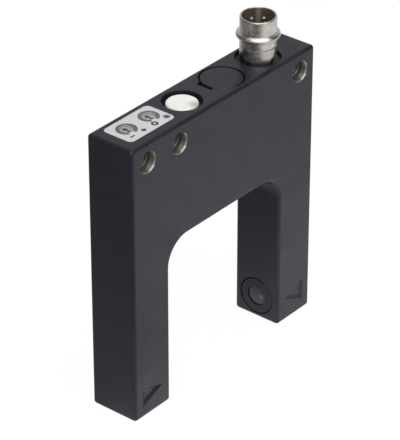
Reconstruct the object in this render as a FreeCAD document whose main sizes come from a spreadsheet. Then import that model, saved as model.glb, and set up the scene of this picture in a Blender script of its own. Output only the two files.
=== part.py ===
import FreeCAD, Part

import os
import re

import Sketcher

# Fork sensor with two legs, a gap between them and a light beam across the gap.
# Frame: millimetres, +Z up, the two leg tips stand on Z = 0, X runs along the housing from the
# adjuster end to the connector, and -Y is the broad front face with the mounting threads.

# Driving sizes in millimetres: name, value, what it is.
SIZES = [
    ("body_length", 60.0, "housing over both legs"),
    ("body_height", 66.0, "housing from the leg tips to the top face"),
    ("body_depth", 12.0, "housing from front to back"),
    ("leg_width", 11.5, "one leg along X"),
    ("fork_depth", 39.0, "leg tips to the root of the gap"),
    ("fork_corner", 6.0, "inside radius at the root of the gap"),
    ("edge_radius", 0.8, "rounding of the outer edges"),
    ("front_wall", 2.0, "wall behind the front face"),
    ("side_wall", 2.0, "wall round the cavity"),
    ("deck_thick", 3.2, "wall under the top face"),
    ("cavity_corner", 0.8, "inside corners of the cavity"),
    ("overrun", 0.5, "how far a through hole is cut past the wall"),
    ("cover_thick", 1.5, "back cover plate"),
    ("cover_rim", 1.0, "wall left outside the back cover"),
    ("cover_corner", 0.8, "corner radius of the back cover"),
    ("cover_gap", 0.1, "seam round the back cover"),
    ("seal_thick", 0.3, "seal under the back cover"),
    ("fit_gap", 0.03, "gap of a seated fit"),
    ("turn_gap", 0.05, "running gap of a turning part"),
    ("insert_end", 5.0, "outer mounting threads from the ends of the housing"),
    ("insert_pitch", 10.0, "inner mounting thread from the outer one beside it"),
    ("insert_drop", 4.5, "mounting threads below the top face"),
    ("insert_bore", 1.7, "minor radius of the M4 thread"),
    ("insert_wall", 0.9, "wall of a threaded insert"),
    ("insert_chamfer", 0.6, "countersink at the mouth"),
    ("insert_sink", 0.3, "insert below the front face"),
    ("boss_wall", 0.8, "wall of the cast boss round an insert"),
    ("boss_floor", 0.7, "metal behind an insert"),
    ("boss_gap", 0.1, "bosses to the adjuster holes"),
    ("beam_height", 5.5, "light beam above the leg tips"),
    ("lens_radius", 2.35, "lens"),
    ("holder_wall", 0.85, "barrel of a lens holder round the lens"),
    ("holder_lip", 1.3, "flange of a lens holder past its barrel"),
    ("holder_lip_thick", 0.6, "flange of a lens holder"),
    ("holder_edge", 0.3, "chamfer round the flange of a lens holder"),
    ("holder_length", 4.0, "lens holder along the beam"),
    ("lens_sink", 0.15, "edge of the lens below the face of the leg"),
    ("lens_thick", 1.6, "lens at its edge"),
    ("lens_crown", 0.12, "crown of the lens"),
    ("diode_radius", 1.5, "body of an emitter or receiver diode"),
    ("diode_reach", 1.0, "diode inside the barrel of its holder"),
    ("diode_body", 2.0, "body of a diode behind its dome"),
    ("diode_dome", 0.7, "dome of a diode"),
    ("diode_lip", 0.25, "flange of a diode past its body"),
    ("diode_lip_thick", 0.6, "flange of a diode"),
    ("lead_thick", 0.45, "square lead of a diode"),
    ("lead_pitch", 2.54, "distance between the two leads"),
    ("lead_run", 1.0, "lead behind the diode before its bend"),
    ("mark_inset", 2.5, "base of a beam mark from the side of the leg"),
    ("mark_length", 6.4, "beam mark from base to point"),
    ("mark_width", 5.3, "base of a beam mark"),
    ("mark_sink", 0.45, "depth of a beam mark"),
    ("mark_slope", 60.0, "walls of a beam mark from its axis in degrees"),
    ("board_pin_gap", 0.45, "front of the circuit board behind the contact pins"),
    ("board_thick", 1.0, "circuit board"),
    ("board_gap", 0.3, "circuit board to the cavity wall"),
    ("board_leg", 4.8, "circuit board in a leg"),
    ("board_top_gap", 2.0, "top edge of the circuit board below the deck"),
    ("board_corner", 1.0, "outer corner radius of the circuit board"),
    ("post_radius", 1.2, "board post"),
    ("post_end", 6.0, "upper outer posts from the ends of the housing"),
    ("post_rise", 7.0, "upper outer posts above the root of the gap"),
    ("post_inner_x", 9.5, "inner posts from the middle"),
    ("post_drop", 6.8, "inner posts below the deck"),
    ("post_low_z", 15.0, "posts in the legs"),
    ("label_end", 2.9, "label plate from the end of the housing"),
    ("label_length", 14.0, "label plate"),
    ("label_front", 2.55, "label plate from the front face"),
    ("label_back", 1.55, "label plate from the back face"),
    ("label_thick", 0.2, "label plate"),
    ("label_corner", 1.2, "corner radius of the label plate"),
    ("adjuster_pitch", 6.9, "distance between the two adjusters"),
    ("adjuster_shift", 0.15, "middle of the adjusters from the middle of the label plate"),
    ("rotor_radius", 1.45, "turning rotor of an adjuster"),
    ("rotor_sink", 0.25, "rotor below the top face"),
    ("rotor_engage", 2.8, "rotor inside its adjuster body"),
    ("slot_width", 0.5, "screwdriver slot"),
    ("slot_length", 2.3, "screwdriver slot with its arrow"),
    ("slot_depth", 0.6, "screwdriver slot"),
    ("arrow_width", 1.5, "arrow head at the end of the slot"),
    ("arrow_length", 0.9, "arrow head at the end of the slot"),
    ("adjuster_width", 3.6, "adjuster body"),
    ("adjuster_height", 4.0, "adjuster body"),
    ("adjuster_drop", 0.2, "adjuster body below the deck"),
    ("ring_wall", 0.4, "adjuster seal with its fit in the deck"),
    ("ring_height", 1.0, "adjuster seal"),
    ("ring_drop", 1.9, "adjuster seal below the top face"),
    ("window_part", 0.24, "part of the free deck between the label plate and the window"),
    ("window_rim", 1.6, "metal beside the well of the status window"),
    ("window_well_depth", 1.4, "well round the status window"),
    ("window_gap", 0.9, "status window to the wall of its well"),
    ("window_sink", 0.3, "status window below the top face"),
    ("window_edge", 0.45, "rounding of the status window"),
    ("guide_step", 1.0, "light guide inside the edge of the window"),
    ("guide_length", 3.6, "light guide under the well"),
    ("led_length", 1.6, "status diode"),
    ("led_width", 0.9, "status diode"),
    ("led_height", 1.2, "status diode"),
    ("led_pitch", 2.4, "distance between the status diodes"),
    ("led_drop", 0.3, "status diodes below the light guide"),
    ("cap_part", 0.323, "part of the free deck between the cap and the connector"),
    ("cap_rim", 1.0, "metal beside the well of the blanking cap"),
    ("cap_gap", 0.35, "blanking cap to the wall of its well"),
    ("cap_thick", 1.5, "head of the blanking cap"),
    ("cap_edge", 0.15, "chamfer of the blanking cap"),
    ("cap_lap", 1.45, "head of the cap past its stem"),
    ("cap_snap", 0.3, "snap lip past the stem"),
    ("cap_snap_height", 0.6, "snap lip under the deck"),
    ("cap_groove_depth", 0.6, "seal groove in the stem"),
    ("cap_groove_height", 0.8, "seal groove in the stem"),
    ("pry_length", 4.0, "slot beside the cap"),
    ("pry_width", 1.2, "slot beside the cap"),
    ("pry_overlap", 0.6, "slot reaching past the well of the cap"),
    ("pry_y", 0.35, "middle of the slot beside the cap"),
    ("pry_depth", 0.9, "slot beside the cap"),
    ("plug_end", 12.0, "connector from the end of the housing"),
    ("plug_radius", 4.0, "connector sleeve"),
    ("plug_height", 9.8, "connector above the top face"),
    ("sleeve_wall", 0.5, "wall of the sleeve"),
    ("plug_rim", 0.25, "chamfer of the rim"),
    ("bead_rise", 0.8, "snap bead past the sleeve"),
    ("bead_top", 6.3, "snap bead above the top face"),
    ("bead_height", 1.5, "snap bead"),
    ("bead_slope", 0.4, "slope of the snap bead"),
    ("groove_sink", 0.22, "depth of the groove under the snap bead"),
    ("groove_top", 3.3, "groove above the top face"),
    ("groove_height", 0.25, "groove in the sleeve"),
    ("seal_width", 1.05, "well round the connector past its sleeve"),
    ("seat_depth", 1.5, "well round the connector"),
    ("plug_seal_sink", 1.0, "connector seal below the top face"),
    ("stem_length", 3.7, "threaded stem of the connector"),
    ("stem_bore", 2.55, "bore of the stem"),
    ("stem_wall", 0.35, "wall of the stem"),
    ("stem_step", 0.6, "floor of the sleeve below the top face"),
    ("nut_wall", 0.45, "wall of the slotted nut"),
    ("nut_height", 1.6, "slotted nut"),
    ("nut_slot", 1.0, "slots of the nut"),
    ("nut_slot_depth", 0.5, "slots of the nut"),
    ("carrier_face", 3.3, "face of the contact carrier above the top face"),
    ("pin_radius", 0.5, "contact pin"),
    ("pin_circle", 1.85, "contact pins from the axis"),
    ("pin_sink", 1.1, "tip of a contact pin below the rim"),
    ("pin_tip", 0.25, "chamfer at the tip of a contact pin"),
    ("pin_tail", 0.3, "contact pin below the connector board"),
    ("link_half", 3.4, "half the length of the connector board"),
    ("link_gap", 0.6, "connector board to the front wall"),
    ("link_thick", 0.8, "connector board"),
    ("chip_height", 1.0, "chips on the board"),
    ("controller_side", 5.0, "controller chip"),
    ("controller_x", 2.0, "controller chip"),
    ("chip_rise", 10.0, "middle of the chips above the root of the gap"),
    ("amplifier_side", 4.0, "amplifier chip"),
    ("amplifier_x", 14.0, "amplifier chip"),
    ("driver_side", 3.0, "output driver"),
    ("driver_x", -5.0, "output driver"),
    ("capacitor_length", 3.2, "filter capacitor"),
    ("capacitor_width", 1.6, "filter capacitor"),
    ("capacitor_x", -16.0, "filter capacitors"),
    ("capacitor_pitch", 4.0, "distance between the filter capacitors"),
]

HALF_LENGTH = "(body_length / 2)"
HALF_DEPTH = "(body_depth / 2)"
GAP_HALF = "(body_length / 2 - leg_width)"
DECK_TOP = "body_height"
DECK_BOTTOM = "(body_height - deck_thick)"
LEDGE = "(side_wall - cover_rim)"
COVER_RIM_TOP = "(deck_thick - %s)" % LEDGE
COVER_SEAT = "(body_depth / 2 - cover_thick)"
LEDGE_PLANE = "(body_depth / 2 - cover_thick - seal_thick)"
CAVITY_FLOOR = "(front_wall - body_depth / 2)"
BOARD_FRONT = "(pin_circle + pin_radius + board_pin_gap)"
BOARD_BACK = "(%s + board_thick)" % BOARD_FRONT
BOARD_OUTER = "(%s - side_wall - board_gap)" % HALF_LENGTH

PLUG_SEAT = "(plug_radius + seal_width)"
CAP_WELL = "(%s - cap_rim)" % HALF_DEPTH
CAP_RADIUS = "(%s - cap_gap)" % CAP_WELL
CAP_STEM = "(%s - cap_lap)" % CAP_RADIUS
CAP_GROOVE = "(%s - cap_groove_depth)" % CAP_STEM
WINDOW_WELL = "(%s - window_rim)" % HALF_DEPTH
WINDOW_RADIUS = "(%s - window_gap)" % WINDOW_WELL
GUIDE_RADIUS = "(%s - guide_step)" % WINDOW_RADIUS
PLUG_BORE = "(plug_radius - sleeve_wall)"
STEM_RADIUS = "(stem_bore + stem_wall)"

LABEL_X = "(label_end + label_length / 2 - %s)" % HALF_LENGTH
LABEL_Y = "((label_front - label_back) / 2)"
LABEL_WIDTH = "(body_depth - label_front - label_back)"
SENSITIVITY_X = "(%s + adjuster_shift - adjuster_pitch / 2)" % LABEL_X
MODE_X = "(%s + adjuster_shift + adjuster_pitch / 2)" % LABEL_X
ADJUSTER_Y = "(%s - adjuster_width / 2)" % BOARD_FRONT
ADJUSTER_SEAT = "(rotor_radius + turn_gap + ring_wall)"

PLUG_X = "(%s - plug_end)" % HALF_LENGTH
DECK_LEFT = "(%s + label_length / 2)" % LABEL_X
DECK_RIGHT = "(%s - %s)" % (PLUG_X, PLUG_SEAT)
DECK_TAKEN = "(2 * %s + 2 * %s + pry_overlap)" % (WINDOW_WELL, CAP_WELL)
DECK_FREE = "(%s - %s - %s)" % (DECK_RIGHT, DECK_LEFT, DECK_TAKEN)
WINDOW_X = "(%s + %s * window_part + %s)" % (DECK_LEFT, DECK_FREE, WINDOW_WELL)
CAP_X = "(%s - %s * cap_part - %s)" % (DECK_RIGHT, DECK_FREE, CAP_WELL)

INSERT_Z = "(body_height - insert_drop)"
INSERT_RADIUS = "(insert_bore + insert_wall)"
BOSS_END = "(%s - %s - boss_gap)" % (ADJUSTER_Y, ADJUSTER_SEAT)
INSERT_LENGTH = "(%s + %s - boss_floor - insert_sink)" % (HALF_DEPTH, BOSS_END)
HOLDER_BARREL = "(lens_radius + holder_wall)"
CHIP_Z = "(fork_depth + chip_rise)"

FRONT = FreeCAD.Rotation(FreeCAD.Vector(1, 0, 0), 90)
TOWARDS_PLUS_X = FreeCAD.Rotation(FreeCAD.Vector(0, 1, 0), 90)
TOWARDS_MINUS_X = FreeCAD.Rotation(FreeCAD.Vector(0, 1, 0), -90)
NEAR = 0.001

doc = FreeCAD.newDocument("fork_sensor")
sheet = doc.addObject("Spreadsheet::Sheet", "Sizes")
nodes = []


def fill_sheet():
    """Write the driving sizes into the sheet, each under its own alias."""
    for row, (name, value, note) in enumerate(SIZES, start=1):
        sheet.set("A%d" % row, name)
        sheet.set("B%d" % row, str(value))
        sheet.set("C%d" % row, note)
        sheet.setAlias("B%d" % row, name)
    doc.recompute()


def bound(formula):
    """Write the names in a formula as cells of the sheet."""
    return re.sub(r"[a-z][a-z_]*", lambda name: "Sizes." + name.group(), formula)


def size(formula):
    """Work out a formula from the sheet."""
    return float(sheet.evalExpression(bound(formula)))


def tie(item, property_name, formula):
    """Bind a property of an object to a formula of the sheet."""
    item.setExpression(property_name, bound(formula))


def place(item, x="0", y="0", z="0", turn=None):
    """Put an object where three formulas say, turned if asked."""
    if turn is not None:
        item.Placement = FreeCAD.Placement(FreeCAD.Vector(), turn)
    tie(item, "Placement.Base.x", x)
    tie(item, "Placement.Base.y", y)
    tie(item, "Placement.Base.z", z)


def keep(item, label):
    """Name a finished piece and list it for export."""
    item.Label = label
    nodes.append(item)
    return item


def new_body(label):
    """Start a piece that is made from sketches."""
    body = doc.addObject("PartDesign::Body", "Body_" + label)
    return keep(body, label)


def origin_plane(body, role):
    """Find one of the body's own origin planes."""
    return next(item for item in body.Origin.OriginFeatures if item.Role == role)


def new_sketch(body, role, name, lift="0"):
    """Add a sketch on an origin plane of the body, lifted along its normal."""
    drawing = body.newObject("Sketcher::SketchObject", body.Label + "_" + name)
    drawing.AttachmentSupport = (origin_plane(body, role), "")
    drawing.MapMode = "FlatFace"
    tie(drawing, "AttachmentOffset.Base.z", lift)
    return drawing


def hold(drawing, kind, geometry, vertex, formula):
    """Hold a point at a distance from the sketch's origin along one axis."""
    constraint = Sketcher.Constraint(kind, -1, 1, geometry, vertex, size(formula))
    number = drawing.addConstraint(constraint)
    tie(drawing, "Constraints[%d]" % number, formula)


def draw_outline(drawing, corners):
    """Draw a closed outline of straight lines with each corner tied to the sheet."""
    points = [FreeCAD.Vector(size(x), size(y), 0) for x, y in corners]
    first = drawing.GeometryCount
    count = len(points)
    for index, start in enumerate(points):
        drawing.addGeometry(Part.LineSegment(start, points[(index + 1) % count]), False)
    for index, (x, y) in enumerate(corners):
        following = first + (index + 1) % count
        drawing.addConstraint(Sketcher.Constraint("Coincident", first + index, 2, following, 1))
        hold(drawing, "DistanceX", first + index, 1, x)
        hold(drawing, "DistanceY", first + index, 1, y)


def draw_box(drawing, x, y, length, width):
    """Draw a rectangle round a middle point."""
    left = "(%s) - (%s) / 2" % (x, length)
    right = "(%s) + (%s) / 2" % (x, length)
    low = "(%s) - (%s) / 2" % (y, width)
    high = "(%s) + (%s) / 2" % (y, width)
    draw_outline(drawing, [(left, low), (right, low), (right, high), (left, high)])


def draw_circle(drawing, x, y, radius):
    """Draw a circle with its middle and radius tied to the sheet."""
    middle = FreeCAD.Vector(size(x), size(y), 0)
    circle = Part.Circle(middle, FreeCAD.Vector(0, 0, 1), size(radius))
    geometry = drawing.addGeometry(circle, False)
    hold(drawing, "DistanceX", geometry, 3, x)
    hold(drawing, "DistanceY", geometry, 3, y)
    number = drawing.addConstraint(Sketcher.Constraint("Radius", geometry, size(radius)))
    tie(drawing, "Constraints[%d]" % number, radius)


def draw_fork(drawing, inset, top_inset):
    """Draw the fork outline, set in from the sides, the tips and the top."""
    outer = "(%s - (%s))" % (HALF_LENGTH, inset)
    inner = "(%s + (%s))" % (GAP_HALF, inset)
    root = "(fork_depth + (%s))" % inset
    top = "(body_height - (%s))" % top_inset
    draw_outline(drawing, [
        ("-" + outer, inset), ("-" + inner, inset), ("-" + inner, root), (inner, root),
        (inner, inset), (outer, inset), (outer, top), ("-" + outer, top),
    ])


def pad(body, drawing, length, reverse=False, both_ways=False):
    """Add material along the normal of a sketch, or against it."""
    feature = body.newObject("PartDesign::Pad", drawing.Label + "_pad")
    feature.Profile = drawing
    feature.Reversed = reverse
    if both_ways:
        feature.SideType = "Symmetric"
    tie(feature, "Length", length)
    doc.recompute()
    return feature


def pocket(body, drawing, length, reverse=False, slope=None):
    """Cut material behind a sketch, or in front of it, and make sure that some went."""
    before = body.Shape.Volume
    feature = body.newObject("PartDesign::Pocket", drawing.Label + "_pocket")
    feature.Profile = drawing
    feature.Reversed = reverse
    if slope is not None:
        tie(feature, "TaperAngle", slope)
    tie(feature, "Length", length)
    doc.recompute()
    if not body.Shape.Volume < before:
        raise ValueError(feature.Label + " cut nothing")
    return feature


def mirror(body, features, role):
    """Repeat features on the other side of one of the body's origin planes."""
    copy = body.newObject("PartDesign::Mirrored", body.Label + "_mirrored_" + features[0].Label)
    copy.Originals = features
    copy.MirrorPlane = (origin_plane(body, role), [""])
    body.Tip = copy
    doc.recompute()
    return copy


def revolve(body, profile, name="profile"):
    """Turn a closed profile of (radius, height) corners about the body's own Z axis."""
    drawing = new_sketch(body, "XZ_Plane", name)
    draw_outline(drawing, profile)
    feature = body.newObject("PartDesign::Revolution", drawing.Label + "_turned")
    feature.Profile = drawing
    feature.ReferenceAxis = (drawing, ["V_Axis"])
    feature.Angle = 360
    doc.recompute()
    return feature


def round_off(body, base, edges, radius, kind="Fillet"):
    """Round or chamfer the named edges of a feature."""
    feature = body.newObject("PartDesign::" + kind, base.Label + "_" + kind.lower())
    feature.Base = (base, edges)
    tie(feature, "Radius" if kind == "Fillet" else "Size", radius)
    doc.recompute()
    return feature


def edges_along(shape, axis, places, low, high):
    """Find straight edges along an axis (0, 1 or 2) by their two other coordinates."""
    others = [index for index in range(3) if index != axis]
    found = []
    for number, edge in enumerate(shape.Edges, start=1):
        ends = [vertex.Point for vertex in edge.Vertexes]
        if len(ends) != 2 or edge.Curve.TypeId != "Part::GeomLine":
            continue
        if any(abs(ends[0][index] - ends[1][index]) > NEAR for index in others):
            continue
        if min(ends[0][axis], ends[1][axis]) < low - NEAR:
            continue
        if max(ends[0][axis], ends[1][axis]) > high + NEAR:
            continue
        here = [ends[0][index] for index in others]
        if any(max(abs(here[0] - u), abs(here[1] - v)) < NEAR for u, v in places):
            found.append("Edge%d" % number)
    return found


def edges_in_plane(shape, axis, values):
    """Find the edges that lie wholly in a plane across an axis at one of some values."""
    found = []
    for number, edge in enumerate(shape.Edges, start=1):
        box = edge.BoundBox
        low = (box.XMin, box.YMin, box.ZMin)[axis]
        high = (box.XMax, box.YMax, box.ZMax)[axis]
        if any(abs(low - value) < NEAR and abs(high - value) < NEAR for value in values):
            found.append("Edge%d" % number)
    return found


def fork_places(inset, top_inset):
    """List the tip, root and top corners of a fork outline as (x, z) pairs."""
    outer = size("%s - (%s)" % (HALF_LENGTH, inset))
    inner = size("%s + (%s)" % (GAP_HALF, inset))
    root = size("fork_depth + (%s)" % inset)
    top = size("body_height - (%s)" % top_inset)
    tip = size(inset)
    corners = [(outer, tip), (inner, tip), (outer, top)]
    corners += [(-x, z) for x, z in corners]
    roots = [(inner, root), (-inner, root)]
    return corners, roots


def round_fork(body, base, inset, top_inset, corner, low, high):
    """Round the corners of a fork shaped feature, larger at the root of the gap."""
    corners, roots = fork_places(inset, top_inset)
    edges = edges_along(base.Shape, 1, corners, size(low), size(high))
    rounded = round_off(body, base, edges, corner)
    edges = edges_along(rounded.Shape, 1, roots, size(low), size(high))
    return round_off(body, rounded, edges, "fork_corner + (%s)" % inset)


def post_circles(drawing):
    """Draw the three board posts of the right half."""
    places = (
        ("%s - post_end" % HALF_LENGTH, "fork_depth + post_rise"),
        ("post_inner_x", "%s - post_drop" % DECK_BOTTOM),
        ("%s - board_leg / 2" % BOARD_OUTER, "post_low_z"),
    )
    for x, z in places:
        draw_circle(drawing, x, z, "post_radius")


def insert_places():
    """List the mounting threads along X."""
    end = "(%s - insert_end)" % HALF_LENGTH
    return ["-" + end, "insert_pitch - " + end, end]


def make_housing():
    """Cast the fork shaped shell with its cavity, bosses, posts, wells and bores."""
    body = new_body("housing")

    outline = new_sketch(body, "XZ_Plane", "outline")
    draw_fork(outline, "0", "0")
    block = pad(body, outline, "body_depth", both_ways=True)
    corners, roots = fork_places("0", "0")
    half_depth = size(HALF_DEPTH)
    root_edges = edges_along(block.Shape, 1, roots, -half_depth, half_depth)
    block = round_off(body, block, root_edges, "fork_corner")
    outer_edges = edges_in_plane(block.Shape, 1, [-half_depth, half_depth])
    outer_edges += edges_along(block.Shape, 1, corners, -half_depth, half_depth)
    round_off(body, block, outer_edges, "edge_radius")

    rebate = new_sketch(body, "XZ_Plane", "rebate", "-" + HALF_DEPTH)
    draw_fork(rebate, "cover_rim", COVER_RIM_TOP)
    cut = pocket(body, rebate, "cover_thick + seal_thick", reverse=True)
    round_fork(body, cut, "cover_rim", COVER_RIM_TOP, "cover_corner", LEDGE_PLANE, HALF_DEPTH)

    cavity = new_sketch(body, "XZ_Plane", "cavity", "-" + LEDGE_PLANE)
    draw_fork(cavity, "side_wall", "deck_thick")
    cut = pocket(body, cavity, "%s - (%s)" % (LEDGE_PLANE, CAVITY_FLOOR), reverse=True)
    round_fork(body, cut, "side_wall", "deck_thick", "cavity_corner", CAVITY_FLOOR, LEDGE_PLANE)

    bosses = new_sketch(body, "XZ_Plane", "bosses", "-" + CAVITY_FLOOR)
    for x in insert_places():
        draw_circle(bosses, x, INSERT_Z, INSERT_RADIUS + " + boss_wall")
    pad(body, bosses, "%s - (%s)" % (BOSS_END, CAVITY_FLOOR), reverse=True)

    posts = new_sketch(body, "XZ_Plane", "posts", "-" + CAVITY_FLOOR)
    post_circles(posts)
    post_pad = pad(body, posts, "%s - (%s)" % (BOARD_FRONT, CAVITY_FLOOR), reverse=True)
    mirror(body, [post_pad], "YZ_Plane")

    threads = new_sketch(body, "XZ_Plane", "insert_bores", HALF_DEPTH)
    for x in insert_places():
        draw_circle(threads, x, INSERT_Z, INSERT_RADIUS + " + fit_gap")
    pocket(body, threads, "insert_sink + " + INSERT_LENGTH)

    cut_top_wells(body)
    cut_optics(body)
    return body


def cut_top_wells(body):
    """Cut the label recess and the wells and holes of the top face."""
    through = "deck_thick + overrun"

    label = new_sketch(body, "XY_Plane", "label_recess", DECK_TOP)
    draw_box(label, LABEL_X, LABEL_Y, "label_length + 2 * fit_gap", LABEL_WIDTH + " + 2 * fit_gap")
    recess = pocket(body, label, "label_thick")
    round_label(body, recess, "fit_gap", "body_height - label_thick", "body_height")

    adjusters = new_sketch(body, "XY_Plane", "adjuster_holes", DECK_TOP)
    for x in (SENSITIVITY_X, MODE_X):
        draw_circle(adjusters, x, ADJUSTER_Y, ADJUSTER_SEAT)
    pocket(body, adjusters, through)

    wells = (
        ("window", WINDOW_X, WINDOW_WELL, "window_well_depth", GUIDE_RADIUS),
        ("cap", CAP_X, CAP_WELL, "cap_thick", CAP_STEM),
        ("plug", PLUG_X, PLUG_SEAT, "seat_depth", STEM_RADIUS),
    )
    for name, x, well_radius, well_depth, stem_radius in wells:
        well = new_sketch(body, "XY_Plane", name + "_well", DECK_TOP)
        draw_circle(well, x, "0", well_radius)
        pocket(body, well, well_depth)
        hole = new_sketch(body, "XY_Plane", name + "_hole", DECK_TOP)
        draw_circle(hole, x, "0", stem_radius + " + fit_gap")
        pocket(body, hole, through)

    pry = new_sketch(body, "XY_Plane", "pry_slot", DECK_TOP)
    pry_x = "%s - %s - pry_overlap + pry_width / 2" % (CAP_X, CAP_WELL)
    draw_box(pry, pry_x, "pry_y", "pry_width", "pry_length")
    pocket(body, pry, "pry_depth")


def cut_optics(body):
    """Cut the lens seats into the inner faces of the legs, and the beam marks into the front."""
    seat = new_sketch(body, "YZ_Plane", "lens_seat", GAP_HALF)
    draw_circle(seat, "0", "beam_height", HOLDER_BARREL + " + holder_lip + fit_gap")
    seat_cut = pocket(body, seat, "holder_lip_thick", reverse=True)
    bore = new_sketch(body, "YZ_Plane", "lens_bore", GAP_HALF)
    draw_circle(bore, "0", "beam_height", HOLDER_BARREL + " + fit_gap")
    bore_cut = pocket(body, bore, "side_wall + overrun", reverse=True)

    mark = new_sketch(body, "XZ_Plane", "beam_mark", HALF_DEPTH)
    base = "%s - mark_inset" % HALF_LENGTH
    draw_outline(mark, [
        (base, "beam_height - mark_width / 2"),
        (base, "beam_height + mark_width / 2"),
        (base + " - mark_length", "beam_height"),
    ])
    mark_cut = pocket(body, mark, "mark_sink", slope="-mark_slope")
    mirror(body, [seat_cut, bore_cut, mark_cut], "YZ_Plane")


def round_label(body, base, grow, low, high):
    """Round the four corners of the label plate or of its recess."""
    places = []
    for side in ("-", "+"):
        for end in ("-", "+"):
            x = size("%s %s (label_length / 2 + %s)" % (LABEL_X, side, grow))
            y = size("%s %s (%s / 2 + %s)" % (LABEL_Y, end, LABEL_WIDTH, grow))
            places.append((x, y))
    edges = edges_along(base.Shape, 2, places, size(low), size(high))
    return round_off(body, base, edges, "label_corner + " + grow)


def make_back_cover():
    """Make the fork shaped plate that closes the cavity, with pads that hold the board."""
    body = new_body("back_cover")
    inset = "cover_rim + cover_gap"
    top_inset = "%s + cover_gap" % COVER_RIM_TOP
    plate = new_sketch(body, "XZ_Plane", "plate", "-" + HALF_DEPTH)
    draw_fork(plate, inset, top_inset)
    slab = pad(body, plate, "cover_thick")
    round_fork(body, slab, inset, top_inset, "cover_corner", COVER_SEAT, HALF_DEPTH)
    pads = new_sketch(body, "XZ_Plane", "pads", "-" + COVER_SEAT)
    post_circles(pads)
    pad_feature = pad(body, pads, "%s - (%s)" % (COVER_SEAT, BOARD_BACK))
    mirror(body, [pad_feature], "YZ_Plane")
    return body


def make_cover_seal():
    """Make the flat seal that lies on the ledge under the back cover."""
    body = new_body("cover_seal")
    inset = "cover_rim + cover_gap"
    top_inset = "%s + cover_gap" % COVER_RIM_TOP
    outer = new_sketch(body, "XZ_Plane", "outer", "-" + COVER_SEAT)
    draw_fork(outer, inset, top_inset)
    slab = pad(body, outer, "seal_thick")
    round_fork(body, slab, inset, top_inset, "cover_corner", LEDGE_PLANE, COVER_SEAT)
    inner = new_sketch(body, "XZ_Plane", "inner", "-" + COVER_SEAT)
    draw_fork(inner, "side_wall", "deck_thick")
    cut = pocket(body, inner, "seal_thick + overrun", reverse=True)
    round_fork(body, cut, "side_wall", "deck_thick", "cavity_corner", LEDGE_PLANE, COVER_SEAT)
    return body


def make_inserts():
    """Turn the threaded inserts of the front face."""
    for number, x in enumerate(insert_places(), start=1):
        body = new_body("mounting_insert_%d" % number)
        inner_end = "-" + INSERT_LENGTH
        revolve(body, [
            ("insert_bore", inner_end), (INSERT_RADIUS, inner_end), (INSERT_RADIUS, "0"),
            ("insert_bore + insert_chamfer", "0"), ("insert_bore", "-insert_chamfer"),
        ])
        place(body, x, "insert_sink - " + HALF_DEPTH, INSERT_Z, FRONT)


def make_label():
    """Cut the label plate with the holes for the two rotors."""
    body = new_body("label_plate")
    plate = new_sketch(body, "XY_Plane", "plate", DECK_TOP)
    draw_box(plate, LABEL_X, LABEL_Y, "label_length", LABEL_WIDTH)
    sheet_pad = pad(body, plate, "label_thick", reverse=True)
    round_label(body, sheet_pad, "0", "body_height - label_thick", "body_height")
    holes = new_sketch(body, "XY_Plane", "holes", DECK_TOP)
    for x in (SENSITIVITY_X, MODE_X):
        draw_circle(holes, x, ADJUSTER_Y, "rotor_radius + turn_gap")
    pocket(body, holes, "label_thick + overrun")


def make_adjuster(name, rotor_name, number, x):
    """Build one adjuster: its body on the board, its rotor and its seal in the deck."""
    body_top = "deck_thick + adjuster_drop"
    rotor_bottom = "-(%s + rotor_engage)" % body_top
    seat_bottom = "%s - turn_gap" % rotor_bottom

    case = new_body(name)
    block = new_sketch(case, "XY_Plane", "block", "-(%s)" % body_top)
    draw_box(block, "0", "0", "adjuster_width", "adjuster_width")
    pad(case, block, "adjuster_height", reverse=True)
    bore = new_sketch(case, "XY_Plane", "bore", "-(%s)" % body_top)
    draw_circle(bore, "0", "0", "rotor_radius + turn_gap")
    pocket(case, bore, "-(%s) - (%s)" % (seat_bottom, body_top))
    place(case, x, ADJUSTER_Y, DECK_TOP)

    rotor = new_body(rotor_name)
    revolve(rotor, [
        ("0", rotor_bottom), ("rotor_radius", rotor_bottom),
        ("rotor_radius", "-rotor_sink"), ("0", "-rotor_sink"),
    ])
    slot = new_sketch(rotor, "XY_Plane", "slot", "-rotor_sink")
    half = "slot_length / 2"
    draw_outline(slot, [
        ("-slot_width / 2", "-" + half), ("slot_width / 2", "-" + half),
        ("slot_width / 2", half + " - arrow_length"), ("arrow_width / 2", half + " - arrow_length"),
        ("0", half), ("-arrow_width / 2", half + " - arrow_length"),
        ("-slot_width / 2", half + " - arrow_length"),
    ])
    pocket(rotor, slot, "slot_depth")
    place(rotor, x, ADJUSTER_Y, DECK_TOP)

    ring = new_body("adjuster_seal_%d" % number)
    inner = "rotor_radius + turn_gap"
    outer = ADJUSTER_SEAT + " - fit_gap"
    ring_end = "-ring_drop - ring_height"
    revolve(ring, [
        (inner, ring_end), (outer, ring_end), (outer, "-ring_drop"), (inner, "-ring_drop"),
    ])
    place(ring, x, ADJUSTER_Y, DECK_TOP)


def make_window():
    """Mould the milky status window with the light guide under it."""
    body = new_body("status_window")
    guide_end = "-window_well_depth - guide_length"
    turned = revolve(body, [
        ("0", guide_end), (GUIDE_RADIUS, guide_end), (GUIDE_RADIUS, "-window_well_depth"),
        (WINDOW_RADIUS, "-window_well_depth"), (WINDOW_RADIUS, "-window_sink"),
        ("0", "-window_sink"),
    ])
    rim = edges_in_plane(turned.Shape, 2, [size("-window_sink")])
    round_off(body, turned, rim, "window_edge")
    place(body, WINDOW_X, "0", DECK_TOP)


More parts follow.
